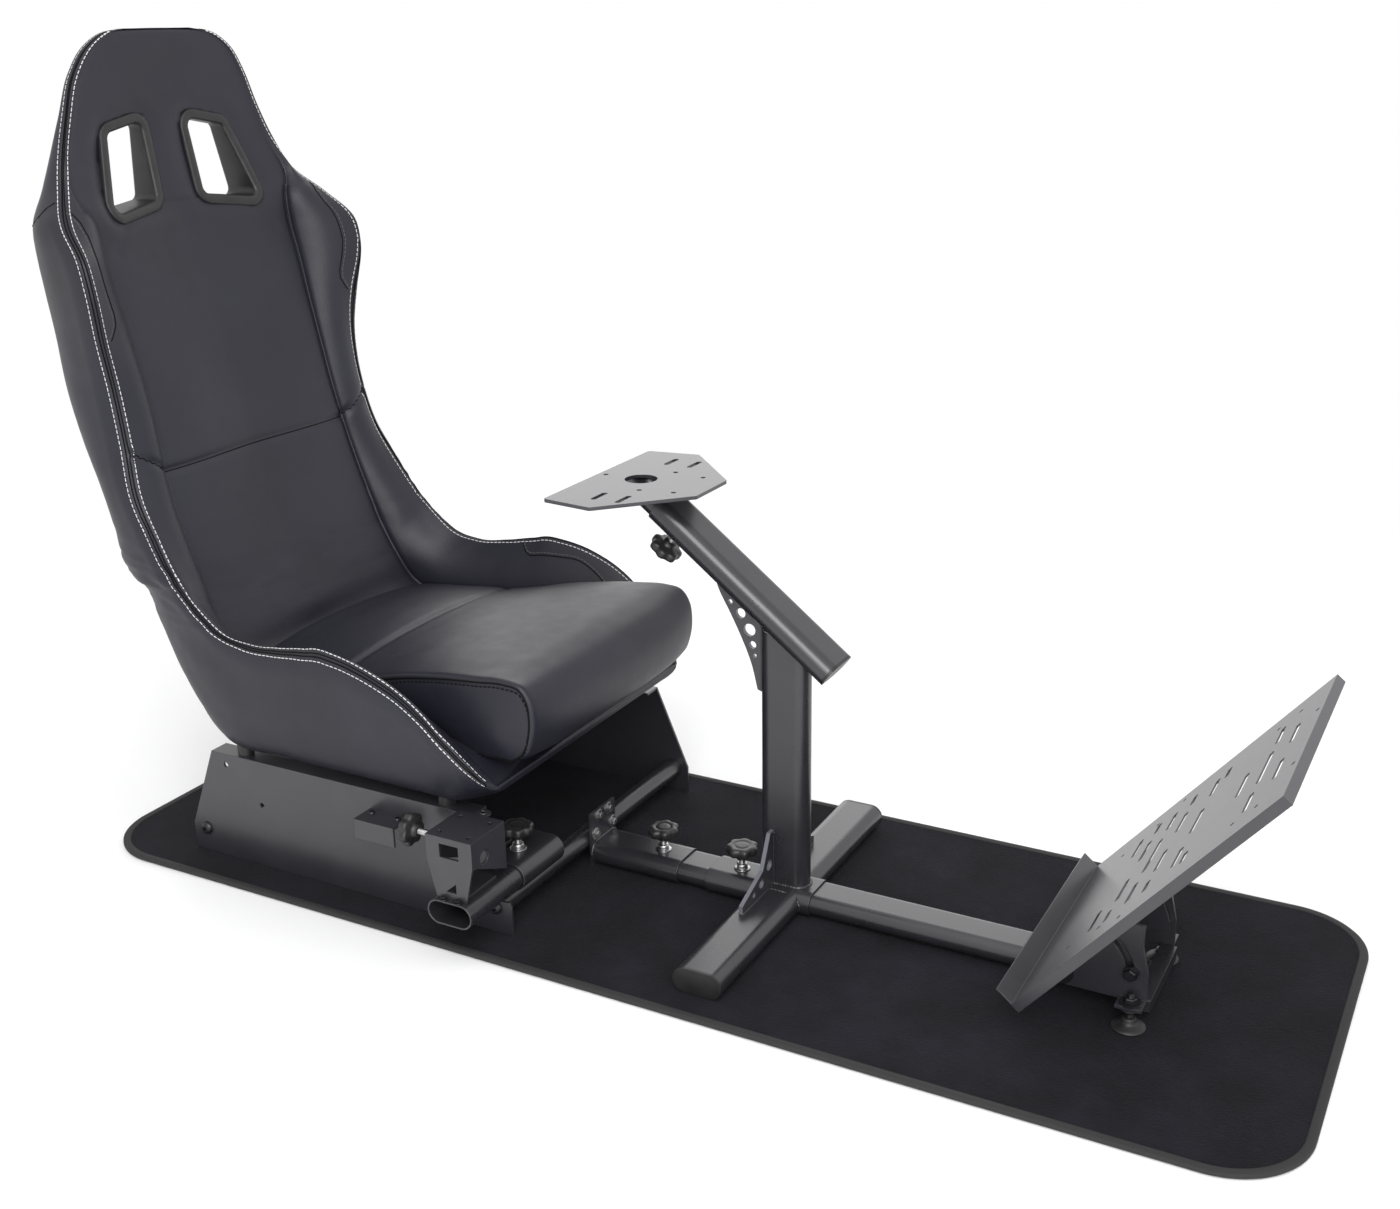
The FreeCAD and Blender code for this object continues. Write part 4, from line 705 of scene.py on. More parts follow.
def crease_height(x, y, z, outside, bezel):
    """Uneven pull in the cover: soft waves, dips round the bezels, tight creases at the rear hem and hips."""
    height = WAVE * soft_noise((x, y, z), 11.0)
    if 0.74 < z < HEAD_HIGH:
        height -= BEZEL_DIP * bell(beyond_bezel(abs(y), z, bezel), 0.010)
        along = clamp((FOLD_Z - z) / FOLD_DOWN)
        fold = math.hypot(abs(y) - FOLD_Y - FOLD_OUT * along, z - FOLD_Z + FOLD_DOWN * along)
        height -= FOLD_DEPTH * bell(fold, FOLD_WIDTH)
    hem = bell(z - HEM_Z, HEM_REACH) * outside
    if hem > LEAST:
        height += hem * HEM_WAVE * soft_noise((x * 3.0, y * 3.0, z * 9.0), 9.0)
    hip = bell(x + 0.585, 0.05) * bell(z - 0.33, 0.06)
    if hip > LEAST:
        height += hip * HIP_WAVE * soft_noise((x * 7.0, y * 2.0, z * 7.0), 8.0)
    return height


def dressed_grid():
    """The cover's grid with its ridges rounded and its seams and creases pressed in."""
    grid, controls = bucket_grid()
    round_ridges(grid)
    head = np.nonzero((controls[:, 2, 2] > HEAD_LOW) & (np.arange(len(grid)) > 1))[0]
    relax(grid, head, FRONT_COLUMNS % RING_COUNT, 14)
    push = seam_push(grid, controls)
    bezel = hole_outline(BEZEL_REACH)
    for i, j in np.ndindex(push.shape):
        push[i, j] += crease_height(*grid[i, j], EDGE_INDEX < min(j, RING_COUNT - j), bezel)
    return grid + grid_normals(grid) * push[:, :, None]


def end_cap(start):
    """Faces that close an end of the cover with strips between its left and right halves."""
    left = list(range(start, start + HALF_COUNT + 1))
    right = [start] + list(range(start + RING_COUNT - 1, start + HALF_COUNT - 1, -1))
    strips = [tuple(dict.fromkeys(quad)) for quad in zip(left, left[1:], right[1:], right)]
    return [strip for strip in strips if len(strip) > 2]


grid = dressed_grid()
row_count = len(grid)
row_starts = range(0, row_count * RING_COUNT, RING_COUNT)
bucket_vertices = [Vector(p) for p in grid.reshape(-1, 3)]
bucket_faces = skin(RING_COUNT, row_starts) + end_cap(row_starts[0]) + end_cap(row_starts[-1])
bucket = add_object("bucket_cover", bucket_vertices, bucket_faces, LEATHER, SEAT_BODY)
bucket_tree = BVHTree.FromPolygons(bucket_vertices, bucket_faces)


def surface_x(y, z, face):
    """Where the cover's front, or its rear where face is -1, lies at a place of the head."""
    start = Vector((HEAD_MIDDLE + HEAD_REACH * face, y, z))
    return bucket_tree.ray_cast(start, Vector((-face, 0, 0)))[0].x


def make_bezel(name, node, side):
    """A moulded frame that clips into one harness hole from both faces."""
    loops = []
    for face, shape in ((1, BEZEL_SHAPE), (-1, BEZEL_SHAPE[::-1])):
        for grow, rise in shape:
            outline = hole_outline(grow, side)
            loops.append([Vector((surface_x(y, z, face) + rise * face, y, z)) for y, z in outline])
    pile = Pile()
    pile.loops(loops, joined=True)
    bezel = pile.make(name, BEZEL_PLASTIC, SEAT_BODY, "bezel")
    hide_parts(node)


def cut_hole(side):
    """Cut one harness hole through the cover."""
    outline = hole_outline(BEZEL_REACH - BEZEL_LIP, side)
    pile = Pile()
    pile.loops([[Vector((x, y, z)) for y, z in outline] for x in (-0.9, -0.6)])
    cutter = pile.make("hole_cutter", LEATHER, SEAT_BODY, "leatherette")
    cut = bucket.modifiers.new("hole", "BOOLEAN")
    cut.operation = "DIFFERENCE"
    cut.solver = "EXACT"
    cut.object = cutter
    bpy.context.view_layer.update()
    mesh = bpy.data.meshes.new_from_object(bucket.evaluated_get(bpy.context.evaluated_depsgraph_get()))
    bucket.modifiers.clear()
    bucket.data = mesh
    bpy.data.objects.remove(cutter)


make_bezel("right_hole_bezel", "right_harness_bezel", -1)
make_bezel("left_hole_bezel", "left_harness_bezel", 1)
for side in SIDES:
    cut_hole(side)
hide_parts("backrest", "right_wing", "left_wing", "right_thigh_bolster", "left_thigh_bolster",
            "seat_pan")

# Stitches (pitch, length, radius): two rows of white thread along each edge seam, and tone-on-tone ones
EDGE_STITCH = (0.0064, 0.0047, 0.0009)
PANEL_STITCH = (0.0058, 0.0042, 0.0008)
CUSHION_STITCH = (0.006, 0.0044, 0.0008)
STITCH_SIDE, CORD_SIDE, CORD_RADIUS = 0.0075, 0.0022, 0.0009

# Stitched patch on each wing (height, distance inside the edge seam), and seams that lie on the cover
WING_PATCH = (
    (0.801, 0.009), (0.790, 0.020), (0.775, 0.027), (0.750, 0.031), (0.720, 0.031), (0.690, 0.033),
    (0.678, 0.030), (0.666, 0.020), (0.655, 0.009),
)
THIGH_SEAM = (
    (-0.397, 0.232, 0.320), (-0.386, 0.226, 0.307), (-0.361, 0.226, 0.3085), (-0.336, 0.228, 0.309),
    (-0.304, 0.230, 0.307), (-0.280, 0.227, 0.2965), (-0.260, 0.221, 0.284), (-0.245, 0.214, 0.270),
)
SHOULDER_SEAM = (
    (-0.722, 0.207, 0.815), (-0.731, 0.214, 0.8085), (-0.738, 0.221, 0.800), (-0.750, 0.222, 0.793),
    (-0.762, 0.214, 0.787),
)


def beside_seam(row, column, step, distance):
    """A point on a section, some way from the edge seam towards one side."""
    outward = 1 if column < HALF_COUNT else -1
    distance = distance * step * outward + seam_shift(grid[row, column])
    step = outward if distance > 0 else -outward
    distance = abs(distance)
    walked = 0.0
    at = column
    while True:
        ahead = (at + step) % RING_COUNT
        leg = grid[row, ahead] - grid[row, at]
        run = np.linalg.norm(leg)
        if walked + run >= distance:
            return Vector(grid[row, at] + leg * ((distance - walked) / max(run, 1e-9)))
        walked += run
        at = ahead


def row_at(height, column=EDGE_INDEX):
    """The row of the cover's back where a column lies at a height."""
    return int(np.argmin(abs(grid[:row_count // 2, column, 2] - height)))


def on_cover(points, side):
    """Points of one side laid on the cover."""
    return [bucket_tree.find_nearest(Vector((x, side * y, z)))[0] for x, y, z in points]


def sew_edges():
    """The white double stitching along both edge seams, and the cords between."""
    threads, cords = Pile(), Pile()
    for column in EDGE_COLUMNS:
        for step in SIDES:
            path = [beside_seam(row, column, step, STITCH_SIDE) for row in range(6, row_count - 4)]
            sew(threads, path, bucket_tree, EDGE_STITCH)
            path = [beside_seam(row, column, step, CORD_SIDE) for row in range(3, row_count - 3)]
            cord(cords, path, CORD_RADIUS)
    threads.make("edge_stitching", WHITE_THREAD, SEAT_BODY, "leatherette")
    cords.make("edge_cords", BLACK_THREAD, SEAT_BODY, "leatherette")


def sew_panels():
    """Cords in the cross, panel, shoulder and thigh seams, and the stitched patches."""
    cords, threads = Pile(), Pile()
    path = []
    for column in FRONT_COLUMNS:
        rise = max(0, abs(column) - SEAM_INDEX) / BOLSTER_COUNT * CROSS_SEAM_LIFT
        path.append(grid[row_at(CROSS_SEAM_Z + rise, column), column])
    cord(cords, path, CORD_RADIUS)
    heights, reaches = zip(*reversed(WING_PATCH))
    for side, edge, seam in zip((1, -1), EDGE_COLUMNS, SEAM_COLUMNS):
        cord(cords, grid[row_at(0.822):row_at(0.335), seam], 0.0010)
        cord(cords, on_cover(SHOULDER_SEAM, side), CORD_RADIUS)
        thigh = on_cover(smooth_path(np.array(THIGH_SEAM) * (1, side, 1), 0.004) * (1, side, 1), side)
        cord(cords, thigh, CORD_RADIUS)
        sew(threads, [p + Vector((0, 0, 0.004)) for p in thigh], bucket_tree, PANEL_STITCH)
        paths = [], []
        for row in range(row_at(heights[-1]), row_at(heights[0])):
            inside = np.interp(grid[row, edge, 2], heights, reaches)
            for path, offset in zip(paths, (0.0, 0.0045)):
                path.append(beside_seam(row, edge, -side, max(inside - offset, 0.004)))
        cord(cords, paths[0], 0.0008)
        sew(threads, paths[1], bucket_tree, PANEL_STITCH)
    cords.make("panel_cords", BLACK_THREAD, SEAT_BODY, "leatherette")
    threads.make("patch_stitching", GREY_THREAD, SEAT_BODY, "leatherette")


sew_edges()
sew_panels()

# Seat cushion: the top panel wraps over the nose between two side panels. Each place of the side
# profile (x, z) is given in millimetres, at the middle of the cushion and at its lower sides.
CUSHION_MIDDLE = (
    (-545, 236), (-553, 252), (-545, 267), (-505, 276), (-455, 281.5), (-415, 284.5), (-395, 285.5),
    (-385, 286), (-370, 288), (-335, 294.5), (-285, 303), (-230, 309), (-180, 311.8), (-142, 310),
    (-116.5, 300.5), (-101.5, 282), (-97, 259), (-102, 235), (-115, 215), (-134, 208), (-156, 214),
    (-185, 220), (-240, 228),
)
CUSHION_SIDE = (
    (-540, 236), (-547, 244), (-540, 253), (-505, 260), (-455, 265), (-415, 269), (-395, 271),
    (-385, 272), (-370, 274.5), (-335, 281.5), (-285, 293.5), (-230, 303), (-180, 309.5), (-143, 312.5),
    (-119, 309), (-107, 293), (-104, 266), (-108.5, 241), (-117, 224), (-134, 216), (-156, 215),
    (-185, 216), (-240, 226),
)
CUSHION_ACROSS, CUSHION_TURN, CUSHION_STEP = 60, math.pi / 2 * 0.94, 0.0042
CUSHION_HALF, CUSHION_ROUND, CUSHION_BULGE, CUSHION_FLARE = 0.181, 0.006, 0.007, 0.037
CREASE_X, CREASE_DEPTH, CREASE_WIDTH = -0.388, 0.0034, 0.0055
SIDE_RINGS = (0.95, 0.88, 0.78, 0.64, 0.46, 0.28, 0.12)
SIDE_REAR, SIDE_FRONT, SIDE_Z = -0.50, -0.16, 0.252


def closed_profiles(profiles):
    """Closed profiles drawn smoothly through their points, with matching, evenly spaced places."""
    points = np.zeros((len(profiles[0]), len(profiles), 3))
    points[:, :, 0::2] = np.transpose(np.array(profiles) * MM, (1, 0, 2))
    fine = smooth_rows(np.concatenate((points[-3:], points, points[:4])), 0.002)
    near = np.linalg.norm(fine[:, 0, :] - points[0, 0], axis=1)
    half = len(near) // 2
    loop = fine[int(np.argmin(near[:half])):half + int(np.argmin(near[half:]))]
    runs = runs_of(loop[:, 0, :])
    wanted = np.linspace(0, runs[-1], int(runs[-1] / CUSHION_STEP), endpoint=False)
    return [at_runs(wanted, runs, loop[:, k, :]) for k in range(len(profiles))]


def profile_normals(loop):
    """Outward directions round a closed side profile."""
    tangents = np.roll(loop, -1, axis=0) - np.roll(loop, 1, axis=0)
    normals = np.stack((-tangents[:, 2], np.zeros(len(loop)), tangents[:, 0]), axis=1)
    normals /= np.linalg.norm(normals, axis=1, keepdims=True)
    return normals if np.sum(normals * (loop - loop.mean(axis=0))) >= 0 else -normals


def make_cushion():
    """The cushion as a closed form whose panels swell between its seams, and the path of its right seam."""
    middle, edge = closed_profiles((CUSHION_MIDDLE, CUSHION_SIDE))
    out = profile_normals(edge)
    count = len(middle)
    covered = np.clip((edge[:, 2] - 0.238) / 0.02, 0, 1) + np.clip((edge[:, 0] + 0.135) / 0.02, 0, 1)
    covered = np.clip(covered, 0, 1)
    power = 2.3 + 2.7 * np.clip((middle[:, 0] + 0.33) / 0.17, 0, 1)
    vertices = []
    for share in np.sin(np.linspace(-CUSHION_TURN, CUSHION_TURN, CUSHION_ACROSS)) / math.sin(CUSHION_TURN):
        y = share * CUSHION_HALF
        over = max(CUSHION_ROUND - CUSHION_HALF + abs(y), 0)
        fall = CUSHION_ROUND - math.sqrt(max(CUSHION_ROUND ** 2 - over ** 2, 0))
        lower = (abs(share) ** power)[:, None]
        rows = middle * (1 - lower) + edge * lower - out * (fall * 0.85 * covered)[:, None]
        for x, _, z in rows:
            wave = 0.0009 * soft_noise((x, y, 0.7), 9.0)
            if z > 0.25:
                wave -= CREASE_DEPTH * bell(x - CREASE_X, CREASE_WIDTH)
            flare = 1 + CUSHION_FLARE * ease((x + 0.30) / 0.14)
            vertices.append(Vector((x, y * flare, z + wave)))
    starts = range(0, len(vertices), count)
    faces = skin(count, starts)
    for side, first in zip(SIDES, (starts[0], starts[-1])):
        rim = np.array(vertices[first:first + count])
        core = rim.copy()
        core[:, 0] = np.clip(rim[:, 0], SIDE_REAR, SIDE_FRONT)
        core[:, 2] = SIDE_Z
        rings = [first]
        for share in SIDE_RINGS:
            bulge = CUSHION_BULGE * (1 - share ** 2) - 0.0016 * bell(1 - share, 0.05)
            rings.append(len(vertices))
            vertices += [Vector(p) for p in core + (rim - core) * share + (0, side * bulge, 0)]
        faces += skin(count, rings)
    cushion = add_object("cushion_cover", vertices, faces, LEATHER, SEAT_BODY)
    clean(cushion.data, 1e-4)
    return cushion, vertices[:count]


def sew_cushion(seam):
    """Black stitching and a seam cord round both side panels of the cushion."""
    polygons = [tuple(polygon.vertices) for polygon in cushion.data.polygons]
    tree = BVHTree.FromPolygons([v.co for v in cushion.data.vertices], polygons)
    front = [p for p in seam if p.z > 0.215 and not (p.x < -0.14 and p.z < 0.25)]
    front.sort(key=lambda p: math.atan2(p.z - 0.24, -p.x - 0.25))
    threads = Pile()
    for side in SIDES:
        path = [Vector((p.x, side * abs(p.y), p.z)) for p in front]
        cord(threads, path, 0.0011)
        sew(threads, [p + Vector((0, side * 0.001, -0.0045)) for p in path], tree, CUSHION_STITCH)
    threads.make("cushion_stitching", BLACK_THREAD, SEAT_BODY, "leatherette")


cushion, right_seam = make_cushion()
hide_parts("seat_cushion")
sew_cushion(right_seam)


# Floor mat and its binding, whose section is (distance outside the mat's edge, height)
MAT_LENGTH, MAT_WIDTH, MAT_CORNER = 1.504, 0.529, 0.090
MAT_TOP, MAT_SHIFT, MAT_INSET, MAT_LIFT = 0.005, -0.0035, 0.003, 0.0004
MAT_ACROSS, MAT_ALONG = 190, 68
TAPE_SECTION = (
    (-0.0100, 0.0042), (-0.0098, 0.0052), (-0.0085, 0.0057), (-0.0045, 0.0060), (-0.0015, 0.0058),
    (-0.0003, 0.0048), (0.0, 0.0030), (-0.0003, 0.0012), (-0.0015, 0.0002), (-0.0095, 0.0001),
)


def mat_point(u, v):
    """A place on the mat's round-cornered rectangle from a place on a square one."""
    corner = MAT_CORNER - MAT_INSET
    inner = Vector((MAT_LENGTH / 2 - MAT_CORNER, MAT_WIDTH / 2 - MAT_CORNER))
    x, y = u * (inner.x + corner), v * (inner.y + corner)
    over_x, over_y = abs(x) - inner.x, abs(y) - inner.y
    if over_x > 0 and over_y > 0:
        scale = max(over_x, over_y) / math.hypot(over_x, over_y)
        x = math.copysign(inner.x + over_x * scale, x)
        y = math.copysign(inner.y + over_y * scale, y)
    return x, y


def make_mat():
    """The carpet mat: a soft slab with an even pile and a little lift and fall."""
    below, above, faces = [], [], []
    for i in range(MAT_ALONG + 1):
        for j in range(MAT_ACROSS + 1):
            x, y = mat_point(2 * j / MAT_ACROSS - 1, 2 * i / MAT_ALONG - 1)
            below.append((x, y + MAT_SHIFT, MAT_LIFT))
            above.append((x, y + MAT_SHIFT, MAT_TOP - MAT_LIFT + MAT_LIFT * soft_noise((x, y, 0.3), 5.0)))
    size, row = len(below), MAT_ACROSS + 1
    for i in range(MAT_ALONG):
        for a in range(i * row, i * row + MAT_ACROSS):
            quad = (a, a + 1, a + row + 1, a + row)
            faces += [quad[::-1], tuple(size + k for k in quad)]
    rim = list(range(MAT_ACROSS)) + [i * row + MAT_ACROSS for i in range(MAT_ALONG)]
    rim += [size - 1 - k for k in rim]
    for a, b in zip(rim, rim[1:] + rim[:1]):
        faces.append((a, b, size + b, size + a))
    return add_object("carpet_mat", below + above, faces, CARPET, SEAT_BODY)


def mat_outline(steps=20):
    """Close points round the mat's edge."""
    points = []
    for sx, sy, start in ((1, -1, -90), (1, 1, 0), (-1, 1, 90), (-1, -1, 180)):
        centre = Vector((sx * (MAT_LENGTH / 2 - MAT_CORNER), sy * (MAT_WIDTH / 2 - MAT_CORNER)))
        for k in range(steps + 1):
            angle = math.radians(start + 90 * k / steps)
            points.append(centre + Vector((math.cos(angle), math.sin(angle))) * MAT_CORNER)
    return close_steps(points + points[:1], 0.012)


def make_binding():
    """The sewn tape folded over the mat's edge."""
    edge = mat_outline()
    outward = []
    for behind, ahead in zip(edge[-1:] + edge, edge[1:] + edge[:1]):
        along = (ahead - behind).normalized()
        outward.append(Vector((along.y, -along.x)))
    loops = []
    for shift, z in TAPE_SECTION:
        places = [point + out * shift for point, out in zip(edge, outward)]
        loops.append([Vector((p.x, p.y + MAT_SHIFT, z)) for p in places])
    pile = Pile()
    pile.loops(loops, joined=True)
    return pile.make("edge_tape", TAPE, SEAT_BODY, "binding")


mat = make_mat()
tape = make_binding()
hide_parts("floor_mat")
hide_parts("mat_binding")


# Star knobs: node, body, place of the stud's foot, direction and length of the stud; their profile is
# (height, radius, how deep the lobes are)
TUBE_TOP = 0.0353
KNOBS = (
    ("rear_tube_knob", SEAT_BODY, (-0.049, 0.0, TUBE_TOP), UP, 0.014),
    ("column_knob", "column", (0.060, 0.0, TUBE_TOP), UP, 0.014),
    ("wheel_knob", "column", (-0.01935, 0.0, 0.44889), (-0.6124, 0, -0.7906), 0.014),
    ("shifter_tube_knob", SEAT_BODY, (-0.158, -0.154, 0.0841), UP, 0.014),
    ("shifter_stand_knob", "shifter", (-0.189, -0.250, 0.136), (-1, 0, 0), 0.036),
)
KNOB_LOBES, LOBE_DEPTH, KNOB_STEPS, STUD_RADIUS = 7, 0.15, 84, 0.004
KNOB_PROFILE = (
    (0.0, 0.0072, 0), (0.0045, 0.0080, 0), (0.0060, 0.0100, 0.3), (0.0066, 0.0165, 0.9), (0.0078, 0.0192, 1),
    (0.0100, 0.020, 1), (0.0145, 0.020, 1), (0.0164, 0.0192, 1), (0.0176, 0.0172, 0.9), (0.0180, 0.0140, 0.6),
    (0.0176, 0.0100, 0.1), (0.0172, 0.0092, 0), (0.0178, 0.0082, 0), (0.0178, 0.0040, 0),
)


def make_knob(node, body, base, direction, stud):
    """A lobed knob with its hub, threaded stud, lock nut and washer."""
    along, across, up = axes_of(direction)
    base = Vector(base)
    loops = []
    for height, radius, lobed in KNOB_PROFILE:
        centre = base + along * (stud + height)
        loop = ring(centre, across, up, radius, KNOB_STEPS)
        for i, point in enumerate(loop):
            wave = abs(math.sin(math.pi * KNOB_LOBES * i / KNOB_STEPS)) ** 1.6
            loop[i] = point.lerp(centre, LOBE_DEPTH * lobed * (1 - wave))
        loops.append(loop)
    pile = Pile()
    pile.loops(loops)
    head = pile.make(f"{node}_head", KNOB_PLASTIC, body, "knob")
    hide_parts(node)
    steel = Pile()
    threaded_rod(steel, base, direction, stud + 0.002, STUD_RADIUS)
    turned(steel, base, direction, ((0, 0.0098), (0.0010, 0.0100), (WASHER, 0.0096)), 28)
    hex_bolt(steel, base + along * WASHER, direction, 0.013, 0.0062, False)
    steel.make(f"{node}_stud", ZINC, body, "zinc")


for knob in KNOBS:
    make_knob(*knob)


# Suction feet and their studs; a cup's profile is (height, radius)
FOOT_X, FOOT_Y, FOOT_SOLE, TAB_TOP = 0.548, 0.074, 0.0053, 0.034
CUP_PROFILE = (
    (0.0030, 0.0020), (0.0022, 0.0100), (0.0004, 0.0172), (0.0, 0.0180), (0.0010, 0.0181),
    (0.0024, 0.0164), (0.0038, 0.0135), (0.0052, 0.0105), (0.0066, 0.0086), (0.0084, 0.0078),
    (0.0112, 0.0076), (0.0122, 0.0068), (0.0126, 0.0040),
)


def make_feet():
    """Rubber suction cups with flared skirts, on zinc studs locked by nuts over the bracket tabs."""
    cups, studs = Pile(), Pile()
    for y in (-FOOT_Y, FOOT_Y):
        turned(cups, (FOOT_X, y, FOOT_SOLE), UP, CUP_PROFILE, 40)
        threaded_rod(studs, (FOOT_X, y, FOOT_SOLE + 0.012), UP, 0.0285, STUD_RADIUS)
        hex_bolt(studs, (FOOT_X, y, TAB_TOP), UP, 0.0125, 0.0055)
        hex_bolt(studs, (FOOT_X, y, TAB_TOP - 0.0042), DOWN, 0.0125, 0.0050)
    cup = cups.make("suction_cups", RUBBER, "slide_frame", "foot_rubber")
    stud = studs.make("cup_studs", BLACK_ZINC, "slide_frame", "zinc", False)
    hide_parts("suction_feet")
    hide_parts("foot_studs")


make_feet()


# Fasteners and welds. The tilt bolts lie on an arc round the pedals' pivot; the stand's tab has an eye.
PIVOT_X, PIVOT_Z, TILT_REACH, TILT_START = 0.470, 0.045, 0.077, math.radians(14.3)
TAB_EYE, TAB_REACH, TAB_ROOT = Vector((-0.160, -0.214, 0.1578)), 0.0085, -0.226
SLOPE = math.radians(37.76)


def make_fasteners():
    """Bolt heads, nuts and screws, one piece for each body and finish."""
    base, bright, carriage, deck, shifter = [Pile() for _ in range(5)]
    tilt = (PIVOT_X + TILT_REACH * math.cos(TILT_START), PIVOT_Z + TILT_REACH * math.sin(TILT_START))
    for side in SIDES:
        for x in (-0.600, -0.152):
            button_bolt(base, (x, 0.213 * side, 0.037), (0, side, 0), 0.0085)
        for x in (-0.530, -0.222):
            hex_bolt(base, (x, 0.200 * side, 0.147), DOWN, 0.013, 0.006)
        for y, z in ((0.011, 0.068), (0.020, 0.046)):
            hex_bolt(bright, (-0.1355, y * side, z), FORWARD, 0.008, 0.004)
        hex_bolt(carriage, (PIVOT_X, 0.064 * side, PIVOT_Z), (0, side, 0), 0.016, 0.007)
        hex_bolt(deck, (tilt[0], 0.0695 * side, tilt[1]), (0, side, 0), 0.012, 0.0045, False)
    for x in (-0.318, -0.280):
        button_bolt(base, (x, -0.2215, 0.125), UP, 0.0045)
    for x in (-0.168, -0.148):
        hex_bolt(shifter, (x, -0.2875, 0.0818), UP, 0.006, 0.002)
    bright.make("bracket_bolts", ZINC, SEAT_BODY, "zinc", False)
    base.make("seat_fasteners", BLACK_ZINC, SEAT_BODY, "zinc", False)
    carriage.make("pivot_nuts", BLACK_ZINC, "slide_frame", "zinc", False)
    deck.make("tilt_bolt_heads", BLACK_ZINC, "pedals", "zinc", False)
    shifter.make("shifter_fasteners", BLACK_ZINC, "shifter", "zinc", False)


def make_tab():
    """The small round tab with a rimmed eye on the shifter's stand."""
    x, y, z = TAB_EYE
    rim = [(x + TAB_REACH, TAB_ROOT)]
    for angle in np.linspace(-0.5, math.pi + 0.5, 24):
        rim.append((x + TAB_REACH * math.cos(angle), y + TAB_REACH * math.sin(angle)))
    rim.append((x - TAB_REACH, TAB_ROOT))
    tab = Pile()
    tab.loops([[Vector((*point, z - drop)) for point in rim] for drop in (0.0028, 0.0002)])
    turned(tab, (x, y, z - 0.0002), UP, ((0, 0.0046), (0.0008, 0.0044), (0.0008, 0.0030), (0, 0.0028)), 20)
    tab.make("stand_tab", SHEET_POWDER, "shifter", "powder_coat", False)


def make_welds():
    """Weld beads where tubes and plates meet."""
    column, seat, wheel = Pile(), Pile(), Pile()
    weld_bead(column, oval((0.119, 0, TUBE_TOP), FORWARD, LEFT, 0.061, 0.031), 0.0021)
    for side in SIDES:
        turns = np.linspace(0, math.tau, 40, endpoint=False)
        path = [(0.119 + 0.0302 * math.cos(a), side * 0.0293, 0.0203 + 0.0150 * math.sin(a)) for a in turns]
        weld_bead(column, path, 0.0019)
        for x in (0.105, 0.110):
            upright = [(x, side * 0.016, TUBE_TOP + rise) for rise in (0.002, 0.068)]
            foot = [(x, side * reach, TUBE_TOP) for reach in (0.018, 0.097)]
            for path in (upright, foot):
                weld_bead(column, path, 0.0012, False)
    for y in (-0.0025, 0.0025):
        weld_bead(column, ((0.0885, y, 0.275), (0.0885, y, 0.360)), 0.0012, False)
    weld_bead(seat, oval((-0.1352, 0, 0.0203), LEFT, UP, 0.061, 0.031), 0.0018)
    path = oval((0, 0, 0), LEFT, FORWARD, 0.0556, 0.0256)
    weld_bead(wheel, [(-0.0665 + p.x / math.sin(SLOPE), p.y, 0.5026) for p in path], 0.0017)
    column.make("column_welds", POWDER, "column", "powder_coat")
    seat.make("tube_weld", POWDER, SEAT_BODY, "powder_coat")
    wheel.make("plate_weld", POWDER, "wheel_support", "powder_coat")


make_fasteners()
make_tab()
make_welds()


# Brace between the post and the sloped tube: its edge and its graded holes (x, z, radius)
BRACE_THICK = 0.005
BRACE_TOP = ((0.089, 0.272), (0.089, 0.365))
BRACE_EDGE = (
    (0.026, 0.4137), (0.0335, 0.391), (0.0485, 0.363), (0.062, 0.3365), (0.0755, 0.304), (0.083, 0.274),
)
BRACE_HOLES = (
    (0.0485, 0.376, 0.003), (0.062, 0.364, 0.006), (0.073, 0.3455, 0.0075), (0.077, 0.328, 0.0045),
    (0.0795, 0.315, 0.0025),
)


def paint_edge_highlights(mesh, axis):
    """A painted highlight: a lighter powder coat on the cut edges of a plate whose faces look along an axis,
    standing in for light caught along them.
    """
    mesh.materials.append(EDGE_HIGHLIGHT_PAINT)
    for polygon in mesh.polygons:
        if abs(polygon.normal[axis]) < 0.5:
            polygon.material_index = 1


def make_brace():
    """The thin brace plate with its row of graded holes, and a painted highlight on its cut edges."""
    near = -BRACE_THICK / 2
    edge = smooth_path([(x, near, z) for x, z in BRACE_EDGE], 0.004)
    loops = [[Vector((x, near, z)) for x, z in BRACE_TOP] + [Vector(p) for p in edge]]
    for x, z, radius in BRACE_HOLES:
        loops.append(ring(Vector((x, near, z)), Vector(FORWARD), Vector(UP), radius, 28))
    form = bmesh.new()
    rims = []
    for loop in loops:
        corners = [form.verts.new(p) for p in loop]
        rims += [form.edges.new((corners[i - 1], corners[i])) for i in range(len(corners))]
    bmesh.ops.triangle_fill(form, use_beauty=True, edges=rims)
    grown = bmesh.ops.extrude_face_region(form, geom=form.faces[:])
    moved = [part for part in grown["geom"] if isinstance(part, bmesh.types.BMVert)]
    bmesh.ops.translate(form, verts=moved, vec=(0, BRACE_THICK, 0))
    form.verts.index_update()
    vertices = [v.co.copy() for v in form.verts]
    faces = [tuple(v.index for v in face.verts) for face in form.faces]
    form.free()
    brace = add_object("brace_plate", vertices, faces, SHEET_POWDER, "column", False)
    paint_edge_highlights(brace.data, 1)
    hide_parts("upper_gusset")


make_brace()

